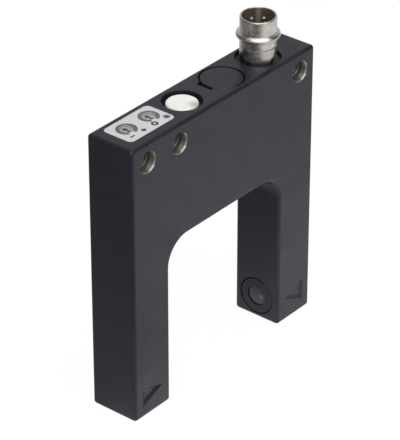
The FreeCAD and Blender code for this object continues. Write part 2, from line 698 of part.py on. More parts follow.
def make_status_led(label, side):
    """Place one status diode on the board under the light guide."""
    led = keep(doc.addObject("Part::Box", "Box_" + label), label)
    tie(led, "Length", "led_length")
    tie(led, "Width", "led_width")
    tie(led, "Height", "led_height")
    under = "body_height - window_well_depth - guide_length - led_drop - led_height"
    x = "%s + %s * led_pitch / 2 - led_length / 2" % (WINDOW_X, side)
    place(led, x, BOARD_FRONT + " - led_width", under)


def make_cap():
    """Turn the blanking cap with its sealed snap stem, and the ring in its groove."""
    body = new_body("blanking_cap")
    snap_top = "-deck_thick - fit_gap"
    snap_end = snap_top + " - cap_snap_height"
    groove_low = "-cap_thick - cap_groove_height"
    revolve(body, [
        ("0", snap_end), (CAP_STEM, snap_end), (CAP_STEM + " + cap_snap", snap_top),
        (CAP_STEM, snap_top), (CAP_STEM, groove_low), (CAP_GROOVE, groove_low),
        (CAP_GROOVE, "-cap_thick"), (CAP_RADIUS, "-cap_thick"), (CAP_RADIUS, "-cap_edge"),
        (CAP_RADIUS + " - cap_edge", "0"), ("0", "0"),
    ])
    place(body, CAP_X, "0", DECK_TOP)

    ring = new_body("cap_seal")
    inner = CAP_GROOVE + " + fit_gap"
    revolve(ring, [
        (inner, groove_low), (CAP_STEM, groove_low), (CAP_STEM, "-cap_thick"), (inner, "-cap_thick"),
    ])
    place(ring, CAP_X, "0", DECK_TOP)


def make_connector():
    """Build the round plug: sleeve, contact carrier, pins, seal, nut and link board."""
    stem_end = "-seat_depth - stem_length"

    shell = new_body("connector_shell")
    revolve(shell, [
        ("stem_bore", stem_end), (STEM_RADIUS, stem_end), (STEM_RADIUS, "-seat_depth"),
        ("plug_radius", "-seat_depth"), ("plug_radius", "groove_top - groove_height"),
        ("plug_radius - groove_sink", "groove_top - groove_height"),
        ("plug_radius - groove_sink", "groove_top"), ("plug_radius", "groove_top"),
        ("plug_radius", "bead_top - bead_height"),
        ("plug_radius + bead_rise", "bead_top - bead_height + bead_slope"),
        ("plug_radius + bead_rise", "bead_top - bead_slope"), ("plug_radius", "bead_top"),
        ("plug_radius", "plug_height - plug_rim"), ("plug_radius - plug_rim", "plug_height"),
        (PLUG_BORE + " + plug_rim / 2", "plug_height"), (PLUG_BORE, "plug_height - plug_rim / 2"),
        (PLUG_BORE, "-stem_step"), ("stem_bore", "-stem_step"),
    ])
    place(shell, PLUG_X, "0", DECK_TOP)

    carrier = new_body("contact_carrier")
    revolve(carrier, [
        ("0", stem_end), ("stem_bore - fit_gap", stem_end), ("stem_bore - fit_gap", "-stem_step"),
        (PLUG_BORE + " - fit_gap", "-stem_step"), (PLUG_BORE + " - fit_gap", "carrier_face"),
        ("0", "carrier_face"),
    ])
    holes = new_sketch(carrier, "XY_Plane", "pin_holes", "carrier_face")
    for x, y in pin_places():
        draw_circle(holes, x, y, "pin_radius + fit_gap")
    pocket(carrier, holes, "carrier_face - (%s) + overrun" % stem_end)
    place(carrier, PLUG_X, "0", DECK_TOP)

    for number, (x, y) in enumerate(pin_places(), start=1):
        pin = new_body("contact_pin_%d" % number)
        tip = "plug_height - pin_sink"
        tail = "%s - link_thick - pin_tail" % stem_end
        revolve(pin, [
            ("0", tail), ("pin_radius", tail), ("pin_radius", tip + " - pin_tip"),
            ("pin_radius - pin_tip", tip), ("0", tip),
        ])
        place(pin, "%s + (%s)" % (PLUG_X, x), y, DECK_TOP)

    ring = new_body("connector_seal")
    inner = "plug_radius + fit_gap"
    outer = PLUG_SEAT + " - fit_gap"
    revolve(ring, [
        (inner, "-seat_depth"), (outer, "-seat_depth"), (outer, "-plug_seal_sink"),
        (inner, "-plug_seal_sink"),
    ])
    place(ring, PLUG_X, "0", DECK_TOP)

    nut = new_body("connector_nut")
    nut_end = "-deck_thick - nut_height"
    nut_radius = STEM_RADIUS + " + nut_wall"
    inner = STEM_RADIUS + " + fit_gap"
    revolve(nut, [
        (inner, nut_end), (nut_radius, nut_end), (nut_radius, "-deck_thick"), (inner, "-deck_thick"),
    ])
    slots = new_sketch(nut, "XY_Plane", "slots", nut_end)
    draw_box(slots, "0", "0", "2 * (%s) + overrun" % nut_radius, "nut_slot")
    pocket(nut, slots, "nut_slot_depth", reverse=True)
    place(nut, PLUG_X, "0", DECK_TOP)

    link = new_body("connector_board")
    plate = new_sketch(link, "XY_Plane", "plate", stem_end)
    link_front = "%s + link_gap" % CAVITY_FLOOR
    draw_outline(plate, [
        ("-link_half", link_front), ("link_half", link_front), ("link_half", BOARD_FRONT),
        ("-link_half", BOARD_FRONT),
    ])
    pad(link, plate, "link_thick", reverse=True)
    link_holes = new_sketch(link, "XY_Plane", "pin_holes", stem_end)
    for x, y in pin_places():
        draw_circle(link_holes, x, y, "pin_radius + fit_gap")
    pocket(link, link_holes, "link_thick + overrun")
    place(link, PLUG_X, "0", DECK_TOP)


def pin_places():
    """List the contact pins round the connector axis."""
    return [("0", "pin_circle"), ("pin_circle", "0"), ("0", "-pin_circle"), ("-pin_circle", "0")]


def make_circuit_board():
    """Cut the fork shaped circuit board and place the chips on its front."""
    board = new_body("circuit_board")
    outline = new_sketch(board, "XZ_Plane", "outline", "-" + BOARD_FRONT)
    outer = BOARD_OUTER
    inner = "(%s - board_leg)" % outer
    tip = "side_wall + board_gap"
    root = "fork_depth + side_wall + board_gap"
    top = "%s - board_top_gap" % DECK_BOTTOM
    draw_outline(outline, [
        ("-" + outer, tip), ("-" + inner, tip), ("-" + inner, root), (inner, root),
        (inner, tip), (outer, tip), (outer, top), ("-" + outer, top),
    ])
    slab = pad(board, outline, "board_thick", reverse=True)
    places = [(size(sign + outer), size(z)) for sign in ("", "-") for z in (tip, top)]
    edges = edges_along(slab.Shape, 1, places, size(BOARD_FRONT), size(BOARD_BACK))
    round_off(board, slab, edges, "board_corner")

    make_chip("controller_chip", "controller_x", CHIP_Z, "controller_side", "controller_side")
    make_chip("amplifier_chip", "amplifier_x", CHIP_Z, "amplifier_side", "amplifier_side")
    make_chip("output_driver", "driver_x", CHIP_Z, "driver_side", "driver_side")
    for number, step in ((1, "-1"), (2, "1")):
        z = "%s + %s * capacitor_pitch / 2" % (CHIP_Z, step)
        make_chip("filter_capacitor_%d" % number, "capacitor_x", z, "capacitor_length", "capacitor_width")


def make_chip(label, x, z, length, height):
    """Place one flat component on the front of the circuit board."""
    chip = keep(doc.addObject("Part::Box", "Box_" + label), label)
    tie(chip, "Length", length)
    tie(chip, "Width", "chip_height")
    tie(chip, "Height", height)
    front = BOARD_FRONT + " - chip_height"
    place(chip, "%s - %s / 2" % (x, length), front, "%s - %s / 2" % (z, height))


def make_optic(name, x, turn):
    """Build one end of the light beam: holder, lens and diode, facing the gap along local Z."""
    holder = new_body(name + "_holder")
    lens_floor = "-lens_sink - lens_thick"
    flange = HOLDER_BARREL + " + holder_lip"
    revolve(holder, [
        ("diode_radius + fit_gap", "-holder_length"), (HOLDER_BARREL, "-holder_length"),
        (HOLDER_BARREL, "-holder_lip_thick"), (flange, "-holder_lip_thick"),
        (flange, "-holder_edge"), (flange + " - holder_edge", "0"),
        ("lens_radius + fit_gap", "0"), ("lens_radius + fit_gap", lens_floor),
        ("diode_radius + fit_gap", lens_floor),
    ])
    place(holder, x, "0", "beam_height", turn)
    make_lens(name + "_lens", x, turn, lens_floor)

    diode = new_body(name + "_diode")
    front = "-holder_length + diode_reach"
    back = "%s - diode_dome - diode_body" % front
    lip_back = "%s - diode_lip_thick" % back
    turned = revolve(diode, [
        ("0", lip_back), ("diode_radius + diode_lip", lip_back), ("diode_radius + diode_lip", back),
        ("diode_radius", back), ("diode_radius", front), ("0", front),
    ])
    round_off(diode, turned, edges_in_plane(turned.Shape, 2, [size(front)]), "diode_dome")
    lead = new_sketch(diode, "YZ_Plane", "lead", "lead_pitch / 2")
    bend = "%s - lead_run" % lip_back
    draw_outline(lead, [
        ("-lead_thick / 2", lip_back), ("-lead_thick / 2", bend), (BOARD_FRONT, bend),
        (BOARD_FRONT, bend + " + lead_thick"), ("lead_thick / 2", bend + " + lead_thick"),
        ("lead_thick / 2", lip_back),
    ])
    lead_pad = pad(diode, lead, "lead_thick", both_ways=True)
    mirror(diode, [lead_pad], "YZ_Plane")
    place(diode, x, "0", "beam_height", turn)


def make_lens(label, x, turn, floor):
    """Grind a lens as the overlap of a disc and a large ball."""
    disc = doc.addObject("Part::Cylinder", label + "_disc")
    tie(disc, "Radius", "lens_radius")
    tie(disc, "Height", "lens_thick + lens_crown")
    place(disc, "0", "0", floor)
    ball = doc.addObject("Part::Sphere", label + "_ball")
    ball_radius = "((lens_radius ^ 2 + lens_crown ^ 2) / (2 * lens_crown))"
    tie(ball, "Radius", ball_radius)
    place(ball, "0", "0", "%s + lens_thick + lens_crown - %s" % (floor, ball_radius))
    lens = keep(doc.addObject("Part::Common", label + "_common"), label)
    lens.Base = disc
    lens.Tool = ball
    place(lens, x, "0", "beam_height", turn)


def check_model():
    """Stop if an object failed or a piece isn't one sound solid."""
    doc.recompute()
    for item in doc.Objects:
        if "Invalid" in item.State or "Error" in item.State:
            raise ValueError("%s failed: %s" % (item.Label, item.State))
    for item in nodes:
        shape = item.Shape
        if shape.isNull() or not shape.isValid() or len(shape.Solids) != 1:
            raise ValueError("%s isn't one valid solid" % item.Label)


def export_model():
    """Write each piece to a file of its own."""
    os.makedirs("parts", exist_ok=True)
    for item in nodes:
        item.Shape.exportStep("parts/%s.step" % item.Label)
        print("%-22s %10.3f mm3" % (item.Label, item.Shape.Volume))


fill_sheet()
make_housing()
make_back_cover()
make_cover_seal()
make_inserts()
make_label()
make_adjuster("sensitivity_adjuster", "sensitivity_rotor", 1, SENSITIVITY_X)
make_adjuster("mode_selector", "mode_rotor", 2, MODE_X)
make_window()
make_status_led("status_led_green", "-1")
make_status_led("status_led_yellow", "1")
make_cap()
make_connector()
make_circuit_board()
make_optic("emitter", "-" + GAP_HALF, TOWARDS_PLUS_X)
make_optic("receiver", GAP_HALF, TOWARDS_MINUS_X)
check_model()
export_model()
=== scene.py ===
"""The dressed model of a fork sensor: its finishes, fine pieces, studio and camera, in metres."""

import logging
import math
from dataclasses import dataclass
from enum import Enum

import bmesh
import bpy
from mathutils import Matrix, Vector


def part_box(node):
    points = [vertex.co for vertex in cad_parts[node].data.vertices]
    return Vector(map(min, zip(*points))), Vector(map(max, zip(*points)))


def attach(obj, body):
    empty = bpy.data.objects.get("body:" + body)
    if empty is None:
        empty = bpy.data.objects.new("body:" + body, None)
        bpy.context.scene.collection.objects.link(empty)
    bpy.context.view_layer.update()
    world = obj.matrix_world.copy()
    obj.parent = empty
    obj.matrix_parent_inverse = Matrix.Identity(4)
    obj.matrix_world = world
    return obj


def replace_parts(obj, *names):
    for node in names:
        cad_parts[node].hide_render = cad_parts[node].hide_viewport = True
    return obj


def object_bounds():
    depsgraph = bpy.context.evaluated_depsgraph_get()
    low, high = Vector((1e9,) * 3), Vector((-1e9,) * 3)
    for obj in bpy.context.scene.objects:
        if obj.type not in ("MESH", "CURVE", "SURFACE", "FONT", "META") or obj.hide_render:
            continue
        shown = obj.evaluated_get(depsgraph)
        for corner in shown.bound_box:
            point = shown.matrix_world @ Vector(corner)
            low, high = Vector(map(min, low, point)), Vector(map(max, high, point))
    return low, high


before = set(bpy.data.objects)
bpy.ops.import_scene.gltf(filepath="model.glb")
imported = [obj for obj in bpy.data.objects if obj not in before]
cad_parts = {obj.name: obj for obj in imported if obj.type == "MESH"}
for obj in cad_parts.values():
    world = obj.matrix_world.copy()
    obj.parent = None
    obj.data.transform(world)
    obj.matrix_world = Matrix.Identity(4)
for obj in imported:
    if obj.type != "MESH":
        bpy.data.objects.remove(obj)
CAD_BOX = [list(corner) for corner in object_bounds()]


def middle_of(node: str) -> Vector:
    """Find the middle of a node's box."""
    low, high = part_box(node)
    return (low + high) / 2


LOG = logging.getLogger("fork_sensor")
MM = 0.001
SENSOR = "sensor"
TURN = 2 * math.pi
WELD = 0.0005 * MM
PLUG_AXIS = (*middle_of("connector_shell").xy, 0.0)

NOISE_SPAN = (0.35, 0.65)
PEAK_SPAN = (0.45, 0.8)
NOISE_FADE = 0.6
PATCH_SHARE = 0.7
RING_SQUEEZE = 0.02
LEAST_ROUGH = 0.02
CORNER_SHARE = 0.45

Socket = bpy.types.NodeSocket
Colour = tuple[float, float, float]
Corner = tuple[float, float]
Span = tuple[float, float]
Place = tuple[float, float, float]


class Graph:
    """A node tree being written, with short calls for the nodes it uses most."""

    def __init__(self, tree: bpy.types.NodeTree) -> None:
        """Take a tree and empty it."""
        tree.nodes.clear()
        self.tree = tree

    def feed(self, socket: Socket, value: object) -> None:
        """Link a socket to another one, or set its plain value.

        Args:
            socket: the input that is fed.
            value: a socket to link from, or a number, vector or material.
        """
        if isinstance(value, Socket):
            self.tree.links.new(value, socket)
        else:
            socket.default_value = value

    def add(self, kind: str, inputs: dict | None = None, **settings: object) -> bpy.types.Node:
        """Add one node.

        Args:
            kind: Blender's name for the type of node.
            inputs: what feeds its inputs, by name or index.
            settings: the node's own properties.

        Returns:
            The new node.
        """
        node = self.tree.nodes.new(kind)
        for name, value in settings.items():
            setattr(node, name, value)
        for key, value in (inputs or {}).items():
            self.feed(node.inputs[key], value)
        return node

    def math(self, operation: str, *values: object) -> Socket:
        """Work out a number from numbers."""
        return self.add("ShaderNodeMath", dict(enumerate(values)), operation=operation).outputs[0]

    def vector(self, operation: str, *values: object) -> Socket:
        """Work out a vector from vectors."""
        return self.add("ShaderNodeVectorMath", dict(enumerate(values)), operation=operation).outputs[0]

    def measure(self, operation: str, *values: object) -> Socket:
        """Work out a number from vectors."""
        return self.add("ShaderNodeVectorMath", dict(enumerate(values)), operation=operation).outputs[1]

    def join(self, x: object = 0.0, y: object = 0.0, z: object = 0.0) -> Socket:
        """Make a vector of three numbers."""
        return self.add("ShaderNodeCombineXYZ", {0: x, 1: y, 2: z}).outputs[0]

    def split(self, value: Socket) -> tuple[Socket, Socket, Socket]:
        """Split a vector into its x, y and z."""
        outputs = self.add("ShaderNodeSeparateXYZ", {0: value}).outputs
        return outputs[0], outputs[1], outputs[2]

    def fit(self, value: Socket, start: Span, end: Span = (0.0, 1.0), smooth: bool = False) -> Socket:
        """Fit a number from one range into another, clamped at both ends.

        Args:
            value: the number.
            start: the range it has.
            end: the range it gets.
            smooth: whether the ends ease in and out.

        Returns:
            The fitted number.
        """
        easing = "SMOOTHSTEP" if smooth else "LINEAR"
        inputs = dict(enumerate((value, *start, *end)))
        return self.add("ShaderNodeMapRange", inputs, interpolation_type=easing).outputs[0]

    def mix(self, share: object, first: object, second: object) -> Socket:
        """Mix two numbers, with the second in the given share."""
        return self.add("ShaderNodeMix", {0: share, 2: first, 3: second}).outputs[0]

    def blend(self, share: object, first: object, second: object) -> Socket:
        """Blend two colours, with the second in the given share."""
        inputs = {0: share, 6: first, 7: second}
        return self.add("ShaderNodeMix", inputs, data_type="RGBA").outputs[2]

    def noise(self, place: Socket, scale: float, detail: float = 3.0) -> Socket:
        """Read a noise that averages one half and has so many patches in a metre."""
        inputs = {"Vector": place, "Scale": scale, "Detail": detail, "Roughness": NOISE_FADE}
        return self.add("ShaderNodeTexNoise", inputs).outputs[0]


class Grain(Enum):
    """How the fine texture of a surface runs."""

    STIPPLE = "stipple"
    RINGS_UPRIGHT = "rings round an upright axis"
    RINGS_LEVEL = "rings round an axis from front to back"
    WEAVE = "weave"


@dataclass(frozen=True)
class Surface:
    """What a finish is written with: a tree, the object's own coordinates and two patterns."""

    graph: Graph
    place: Socket
    patches: Socket
    fine: Socket


@dataclass(frozen=True)
class Finish:
    """One finish, with the variation that its maker's process leaves."""

    name: str
    colour: Colour
    roughness: float
    drift: float = 0.12
    polish: float = 0.08
    metallic: float = 0.0
    specular: float = 0.5
    gloss: Colour = (1.0, 1.0, 1.0)
    coat: float = 0.0
    transmission: float = 0.0
    scatter: float = 0.0
    scatter_reach: Place = (0.6 * MM, 0.6 * MM, 0.5 * MM)
    grain: Grain = Grain.STIPPLE
    grain_scale: float = 3500.0
    grain_depth: float = 0.006 * MM
    patch_scale: float = 160.0

    def make(self) -> bpy.types.Material:
        """Write the material's nodes.

        Returns:
            The material.
        """
        material = bpy.data.materials.new(self.name)
        material.use_nodes = True
        graph = Graph(material.node_tree)
        place = graph.add("ShaderNodeTexCoord").outputs["Object"]
        patches = graph.noise(place, self.patch_scale)
        surface = Surface(graph, place, patches, self.texture(graph, place))
        bump = graph.add("ShaderNodeBump", {"Distance": self.grain_depth, "Height": surface.fine})
        inputs = {
            "Base Color": self.tint(surface),
            "Roughness": self.shine(surface),
            "Normal": bump.outputs[0],
            "Metallic": self.metal(surface),
            "Specular IOR Level": self.specular,
            "Specular Tint": shade(self.gloss, 1.0),
            "Coat Weight": self.coat,
            "Transmission Weight": self.transmission,
            "Subsurface Weight": self.scatter,
            "Subsurface Radius": self.scatter_reach,
            "Subsurface Scale": 1.0,
        }
        shader = graph.add("ShaderNodeBsdfPrincipled", inputs)
        graph.add("ShaderNodeOutputMaterial", {"Surface": shader.outputs[0]})
        return material

    def texture(self, graph: Graph, place: Socket) -> Socket:
        """Write the fine texture.

        Args:
            graph: the material's tree.
            place: the object's own coordinates.

        Returns:
            The height of the surface, from 0 to 1.
        """
        if self.grain is Grain.WEAVE:
            inputs = {"Vector": place, "Scale": self.grain_scale}
            return graph.add("ShaderNodeTexWave", inputs, wave_profile="SIN").outputs[1]
        if self.grain is Grain.STIPPLE:
            return graph.noise(place, self.grain_scale)
        x, y, z = graph.split(place)
        around, along = ((x, y), z) if self.grain is Grain.RINGS_UPRIGHT else ((x, z), y)
        first, second = (graph.math("MULTIPLY", value, RING_SQUEEZE) for value in around)
        return graph.noise(graph.join(first, second, along), self.grain_scale, 2.0)

    def metal(self, surface: Surface) -> object:
        """Say how much of the surface is bare metal, as a number or a socket."""
        return self.metallic

    def tint(self, surface: Surface) -> Socket:
        """Write the colour, which drifts in patches and in the fine texture.

        Args:
            surface: what the finish is written with.

        Returns:
            The colour.
        """
        graph = surface.graph
        deep = shade(self.colour, 1 - self.drift)
        pale = shade(self.colour, 1 + self.drift)
        broad = graph.blend(graph.fit(surface.patches, NOISE_SPAN), deep, pale)
        return graph.blend(graph.fit(surface.fine, PEAK_SPAN, (0.0, self.drift)), broad, pale)

    def shine(self, surface: Surface) -> Socket:
        """Write the roughness.

        Args:
            surface: what the finish is written with.

        Returns:
            The roughness.
        """
        graph = surface.graph
        broad = graph.math("MULTIPLY", surface.patches, PATCH_SHARE)
        mixed = graph.math("ADD", broad, graph.math("MULTIPLY", surface.fine, 1 - PATCH_SHARE))
        low = max(self.roughness - self.polish, LEAST_ROUGH)
        return graph.fit(mixed, NOISE_SPAN, (low, self.roughness + self.polish))


@dataclass(frozen=True)
class CoatFinish(Finish):
    """The satin coat of the casting, glossier on its rounded edges and painted lighter there: partly wear,
    partly a painted highlight.
    """

    edge_light_share: float = 0.35
    edge_light_gain: float = 2.0
    rub_polish: float = 0.06
    edge_patches: Span = (0.45, 0.7)
    edge_least: float = 0.15
    edge_span: Span = (0.98, 0.82)
    gap_half: float = 18.4 * MM
    root: float = 38.9 * MM
    root_tilt: float = 0.1

    def edge_wear_and_highlight(self, surface: Surface) -> Socket:
        """Find the rounded edges, which get wear and a painted highlight, apart from the root of the gap.

        Args:
            surface: what the finish is written with.

        Returns:
            The wear and painted highlight, from 0 to 1.
        """
        graph = surface.graph
        normal = graph.add("ShaderNodeTexCoord").outputs["Normal"]
        nx, ny, nz = graph.split(graph.vector("ABSOLUTE", normal))
        flat = graph.math("MAXIMUM", graph.math("MAXIMUM", nx, ny), nz)
        x, _, z = graph.split(graph.vector("ABSOLUTE", surface.place))
        inside = graph.math("LESS_THAN", x, self.gap_half)
        below = graph.math("LESS_THAN", z, self.root)
        level = graph.math("LESS_THAN", ny, self.root_tilt)
        root = graph.math("MULTIPLY", graph.math("MULTIPLY", inside, below), level)
        edge = graph.math("MULTIPLY", graph.fit(flat, self.edge_span), graph.math("SUBTRACT", 1.0, root))
        uneven = graph.fit(surface.patches, self.edge_patches, (self.edge_least, 1.0))
        return graph.math("MULTIPLY", edge, uneven)

    def tint(self, surface: Surface) -> Socket:
        """Write the coat's colour, lighter on its edges: partly wear, partly a painted highlight.

        Args:
            surface: what the finish is written with.

        Returns:
            The colour.
        """
        graph = surface.graph
        # Painted highlight and wear: the edges get the coat's colour made lighter.
        share = graph.math("MULTIPLY", self.edge_wear_and_highlight(surface), self.edge_light_share)
        return graph.blend(share, super().tint(surface), shade(self.colour, self.edge_light_gain))

    def shine(self, surface: Surface) -> Socket:
        """Write the coat's roughness, lower on the rounded edges, which wear polishes.

        Args:
            surface: what the finish is written with.

        Returns:
            The roughness.
        """
        graph = surface.graph
        edge_wear_and_highlight = graph.math("MULTIPLY", self.edge_wear_and_highlight(surface), self.rub_polish)
        return graph.math("SUBTRACT", super().shine(surface), edge_wear_and_highlight)


@dataclass(frozen=True)
class GlowFinish(Finish):
    """A milky, smoked or dark body with a soft patch: on the window a part seen through it, on the lens a
    painted highlight, on the plug's carrier painted light.
    """

    spot: Place = (0.0, 0.0, 0.0)
    plane: Place = (1.0, 1.0, 0.0)
    reach: float = 1.0 * MM
    # The patch's colour: a part seen through the window, a painted highlight on the lens, painted light on
    # the carrier.
    behind: Colour = (0.5, 0.5, 0.5)
    share: float = 0.7

    def tint(self, surface: Surface) -> Socket:
        """Write the body's colour with its patch.

        Args:
            surface: what the finish is written with.

        Returns:
            The colour.
        """
        graph = surface.graph
        flat = graph.vector("MULTIPLY", surface.place, self.plane)
        away = graph.measure("DISTANCE", flat, self.spot)
        seen = graph.fit(away, (0.0, self.reach), (self.share, 0.0), smooth=True)
        return graph.blend(seen, super().tint(surface), shade(self.behind, 1.0))


@dataclass(frozen=True)
class InsertFinish(Finish):
    """Dark plated steel, bright where the thread was cut and where screws rubbed the countersink."""

    face: float = CAD_BOX[0][1]
    cut_span: Span = (1.0 * MM, 2.6 * MM)
    cut_colour: Colour = (0.42, 0.41, 0.37)
    rub_span: Span = (0.45 * MM, 0.36 * MM)
    rub_colour: Colour = (0.33, 0.33, 0.325)
    rub_roughness: float = 0.26

    def depth(self, surface: Surface, span: Span, smooth: bool = False) -> Socket:
        """Rise from 0 to 1 over a span of depths below the front face."""
        below = surface.graph.math("SUBTRACT", surface.graph.split(surface.place)[1], self.face)
        return surface.graph.fit(below, span, smooth=smooth)

    def tint(self, surface: Surface) -> Socket:
        """Write the steel's colour, pale down the thread and near the front face.

        Args:
            surface: what the finish is written with.

        Returns:
            The colour.
        """
        cut = self.depth(surface, self.cut_span, smooth=True)
        thread = surface.graph.blend(cut, super().tint(surface), shade(self.cut_colour, 1.0))
        return surface.graph.blend(self.depth(surface, self.rub_span), thread, shade(self.rub_colour, 1.0))

    def shine(self, surface: Surface) -> Socket:
        """Write the steel's roughness, even near the front face."""
        rubbed = self.depth(surface, self.rub_span)
        return surface.graph.mix(rubbed, super().shine(surface), self.rub_roughness)


@dataclass(frozen=True)
class SleeveFinish(Finish):
    """Bright nickel plate outside; the bore stayed dull and brown, with a painted reflection on its wall
    as a pale band.
    """

    bore: float = 3.6 * MM
    dull: Colour = (0.150, 0.122, 0.090)
    dull_metal: float = 0.3
    # A painted reflection: the bore's wall is paler where it faces this way.
    painted_sheen_facing: Place = (0.79, 0.61, 0.0)
    painted_sheen_span: Span = (0.972, 1.0)
    painted_sheen_colour: Colour = (0.36, 0.31, 0.235)

    def arm(self, surface: Surface) -> Socket:
        """Find the level arm from the plug's axis to a point."""
        level = surface.graph.vector("MULTIPLY", surface.place, (1.0, 1.0, 0.0))
        return surface.graph.vector("SUBTRACT", level, PLUG_AXIS)

    def inside(self, surface: Surface) -> Socket:
        """Give 1 in the bore and 0 outside it."""
        away = surface.graph.measure("LENGTH", self.arm(surface))
        return surface.graph.math("LESS_THAN", away, self.bore)

    def metal(self, surface: Surface) -> Socket:
        """Say how much of the surface is bare metal, which is less in the bore."""
        return surface.graph.mix(self.inside(surface), self.metallic, self.dull_metal)

    def tint(self, surface: Surface) -> Socket:
        """Write the plate's colour, brown inside, with a painted reflection as a pale band on the bore's
        wall.

        Args:
            surface: what the finish is written with.

        Returns:
            The colour.
        """
        graph = surface.graph
        # Painted reflection: paler on the side of the bore that faces the given way.
        facing = graph.vector("NORMALIZE", self.arm(surface))
        toward = graph.measure("DOT_PRODUCT", facing, self.painted_sheen_facing)
        rubbed = graph.fit(toward, self.painted_sheen_span, smooth=True)
        bore = graph.blend(rubbed, shade(self.dull, 1.0), shade(self.painted_sheen_colour, 1.0))
        return graph.blend(self.inside(surface), super().tint(surface), bore)


@dataclass(frozen=True)
class RotorFinish(Finish):
    """A grey moulding whose screwdriver slot is painted darker: painted shade in the recess."""

    top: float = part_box("mode_rotor")[1].z
    slot_span: Span = (0.03 * MM, 0.3 * MM)
    painted_slot_shade: float = 0.22

    def tint(self, surface: Surface) -> Socket:
        """Write the rotor's colour, with painted shade in its slot.

        Args:
            surface: what the finish is written with.

        Returns:
            The colour.
        """
        graph = surface.graph
        # Painted shade: the slot gets darker the deeper it goes.
        depth = graph.math("SUBTRACT", self.top, graph.split(surface.place)[2])
        sunk = graph.fit(depth, self.slot_span)
        return graph.blend(sunk, super().tint(surface), shade(self.colour, self.painted_slot_shade))


def shade(colour: Colour, level: float) -> tuple[float, float, float, float]:
    """Make a colour lighter or darker, and opaque."""
    return (*(min(part * level, 1.0) for part in colour), 1.0)


VIOLET_GLOSS = (0.84, 0.79, 1.0)
FINISHES: dict[str, Finish] = {
    "black_coat": CoatFinish("satin_black_coat", (0.0145, 0.0133, 0.0175), 0.42, specular=0.60,
                             gloss=VIOLET_GLOSS, grain_scale=2600.0),
    "steel_thread": InsertFinish("turned_steel", (0.125, 0.125, 0.102), 0.42, metallic=0.6,
                                 grain=Grain.RINGS_LEVEL, grain_scale=9000.0, grain_depth=0.004 * MM),
    "label_grey": Finish("label_plate_grey", (0.64, 0.64, 0.66), 0.5, drift=0.03,
                         grain_scale=5000.0, grain_depth=0.003 * MM),
    "rotor_grey": RotorFinish("rotor_grey", (0.36, 0.36, 0.36), 0.42, drift=0.08),
    "milky_window": GlowFinish("milky_window", (0.95, 0.94, 0.87), 0.28, drift=0.02, scatter=0.6,
                               coat=0.3, grain_depth=0.002 * MM, spot=(-6.2 * MM, -2.9 * MM, 0.0),
                               reach=2.5 * MM, behind=(0.32, 0.35, 0.25)),
    "black_cap": Finish("satin_black_moulding", (0.0150, 0.0140, 0.0180), 0.42, specular=0.58,
                        gloss=VIOLET_GLOSS, grain_scale=2200.0),
    "plug_nickel": SleeveFinish("nickel_plate", (0.74, 0.71, 0.67), 0.30, drift=0.20, polish=0.14,
                                metallic=1.0, grain=Grain.RINGS_UPRIGHT, grain_scale=7000.0,
                                grain_depth=0.005 * MM, patch_scale=420.0),
    # The carrier's lighter middle is painted light, darker towards the sleeve's wall.
    "carrier_dark": GlowFinish("carrier_moulding", (0.110, 0.092, 0.066), 0.45, spot=PLUG_AXIS,
                               reach=1.6 * MM, behind=(0.32, 0.28, 0.22)),
    "pin_plate": Finish("pin_plating", (0.42, 0.39, 0.34), 0.45, metallic=1.0, drift=0.05,
                        grain=Grain.RINGS_UPRIGHT, grain_scale=9000.0, grain_depth=0.003 * MM),
    "seal_black": Finish("black_rubber", (0.040, 0.037, 0.042), 0.62, grain_depth=0.010 * MM),
    "holder_black": Finish("holder_moulding", (0.012, 0.011, 0.014), 0.42, gloss=VIOLET_GLOSS),
    # The lens's lighter patch is a painted highlight.
    "lens_smoke": GlowFinish("smoked_lens", (0.040, 0.038, 0.044), 0.20, coat=0.1, polish=0.03,
                             gloss=VIOLET_GLOSS, grain_depth=0.001 * MM,
                             spot=(0.0, -1.25 * MM, 5.5 * MM), plane=(0.0, 1.0, 1.0),
                             reach=0.95 * MM, behind=(0.18, 0.175, 0.185)),
    "board_green": Finish("board_laminate", (0.030, 0.150, 0.055), 0.40, grain=Grain.WEAVE,
                          grain_scale=1200.0),
    "case_blue": Finish("adjuster_case_blue", (0.045, 0.110, 0.330), 0.42),
    "chip_black": Finish("chip_moulding", (0.020, 0.020, 0.022), 0.55),
    "capacitor_tan": Finish("capacitor_ceramic", (0.430, 0.300, 0.170), 0.38),
    "diode_clear": Finish("clear_diode", (0.55, 0.56, 0.60), 0.10, transmission=0.6,
                          grain_depth=0.001 * MM),
    "diode_dark": Finish("dark_diode", (0.030, 0.022, 0.040), 0.12, coat=0.4,
                         grain_depth=0.001 * MM),
    "led_green": Finish("green_diode", (0.090, 0.420, 0.130), 0.25, coat=0.3),
    "led_yellow": Finish("yellow_diode", (0.620, 0.430, 0.040), 0.25, coat=0.3),
}
RING_INK = Finish("grey_ink", (0.140, 0.140, 0.145), 0.5, drift=0.2, grain_scale=6000.0,
                  grain_depth=0.002 * MM)
MARK_INK = Finish("dark_ink", (0.060, 0.060, 0.065), 0.5, drift=0.2, grain_scale=6000.0,
                  grain_depth=0.002 * MM)


class FinishStore:
    """The materials made so far, one for each finish."""

    def __init__(self) -> None:
        """Start with none."""
        self.made: dict[str, bpy.types.Material] = {}

    def give(self, finish: Finish) -> bpy.types.Material:
        """Make a finish's material once, and hand out the same one from then on.

        Args:
            finish: the finish asked for.

        Returns:
            Its material.
        """
        if finish.name not in self.made:
            self.made[finish.name] = finish.make()
        return self.made[finish.name]

    def dress_frame(self) -> list[bpy.types.Object]:
        """Give every node of the frame the finish of its slot.

        Returns:
            The nodes.
        """
        nodes = list(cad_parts.values())
        for node in nodes:
            for holder in node.material_slots:
                holder.material = self.give(FINISHES[holder.material.name.split(".")[0]])
        return nodes


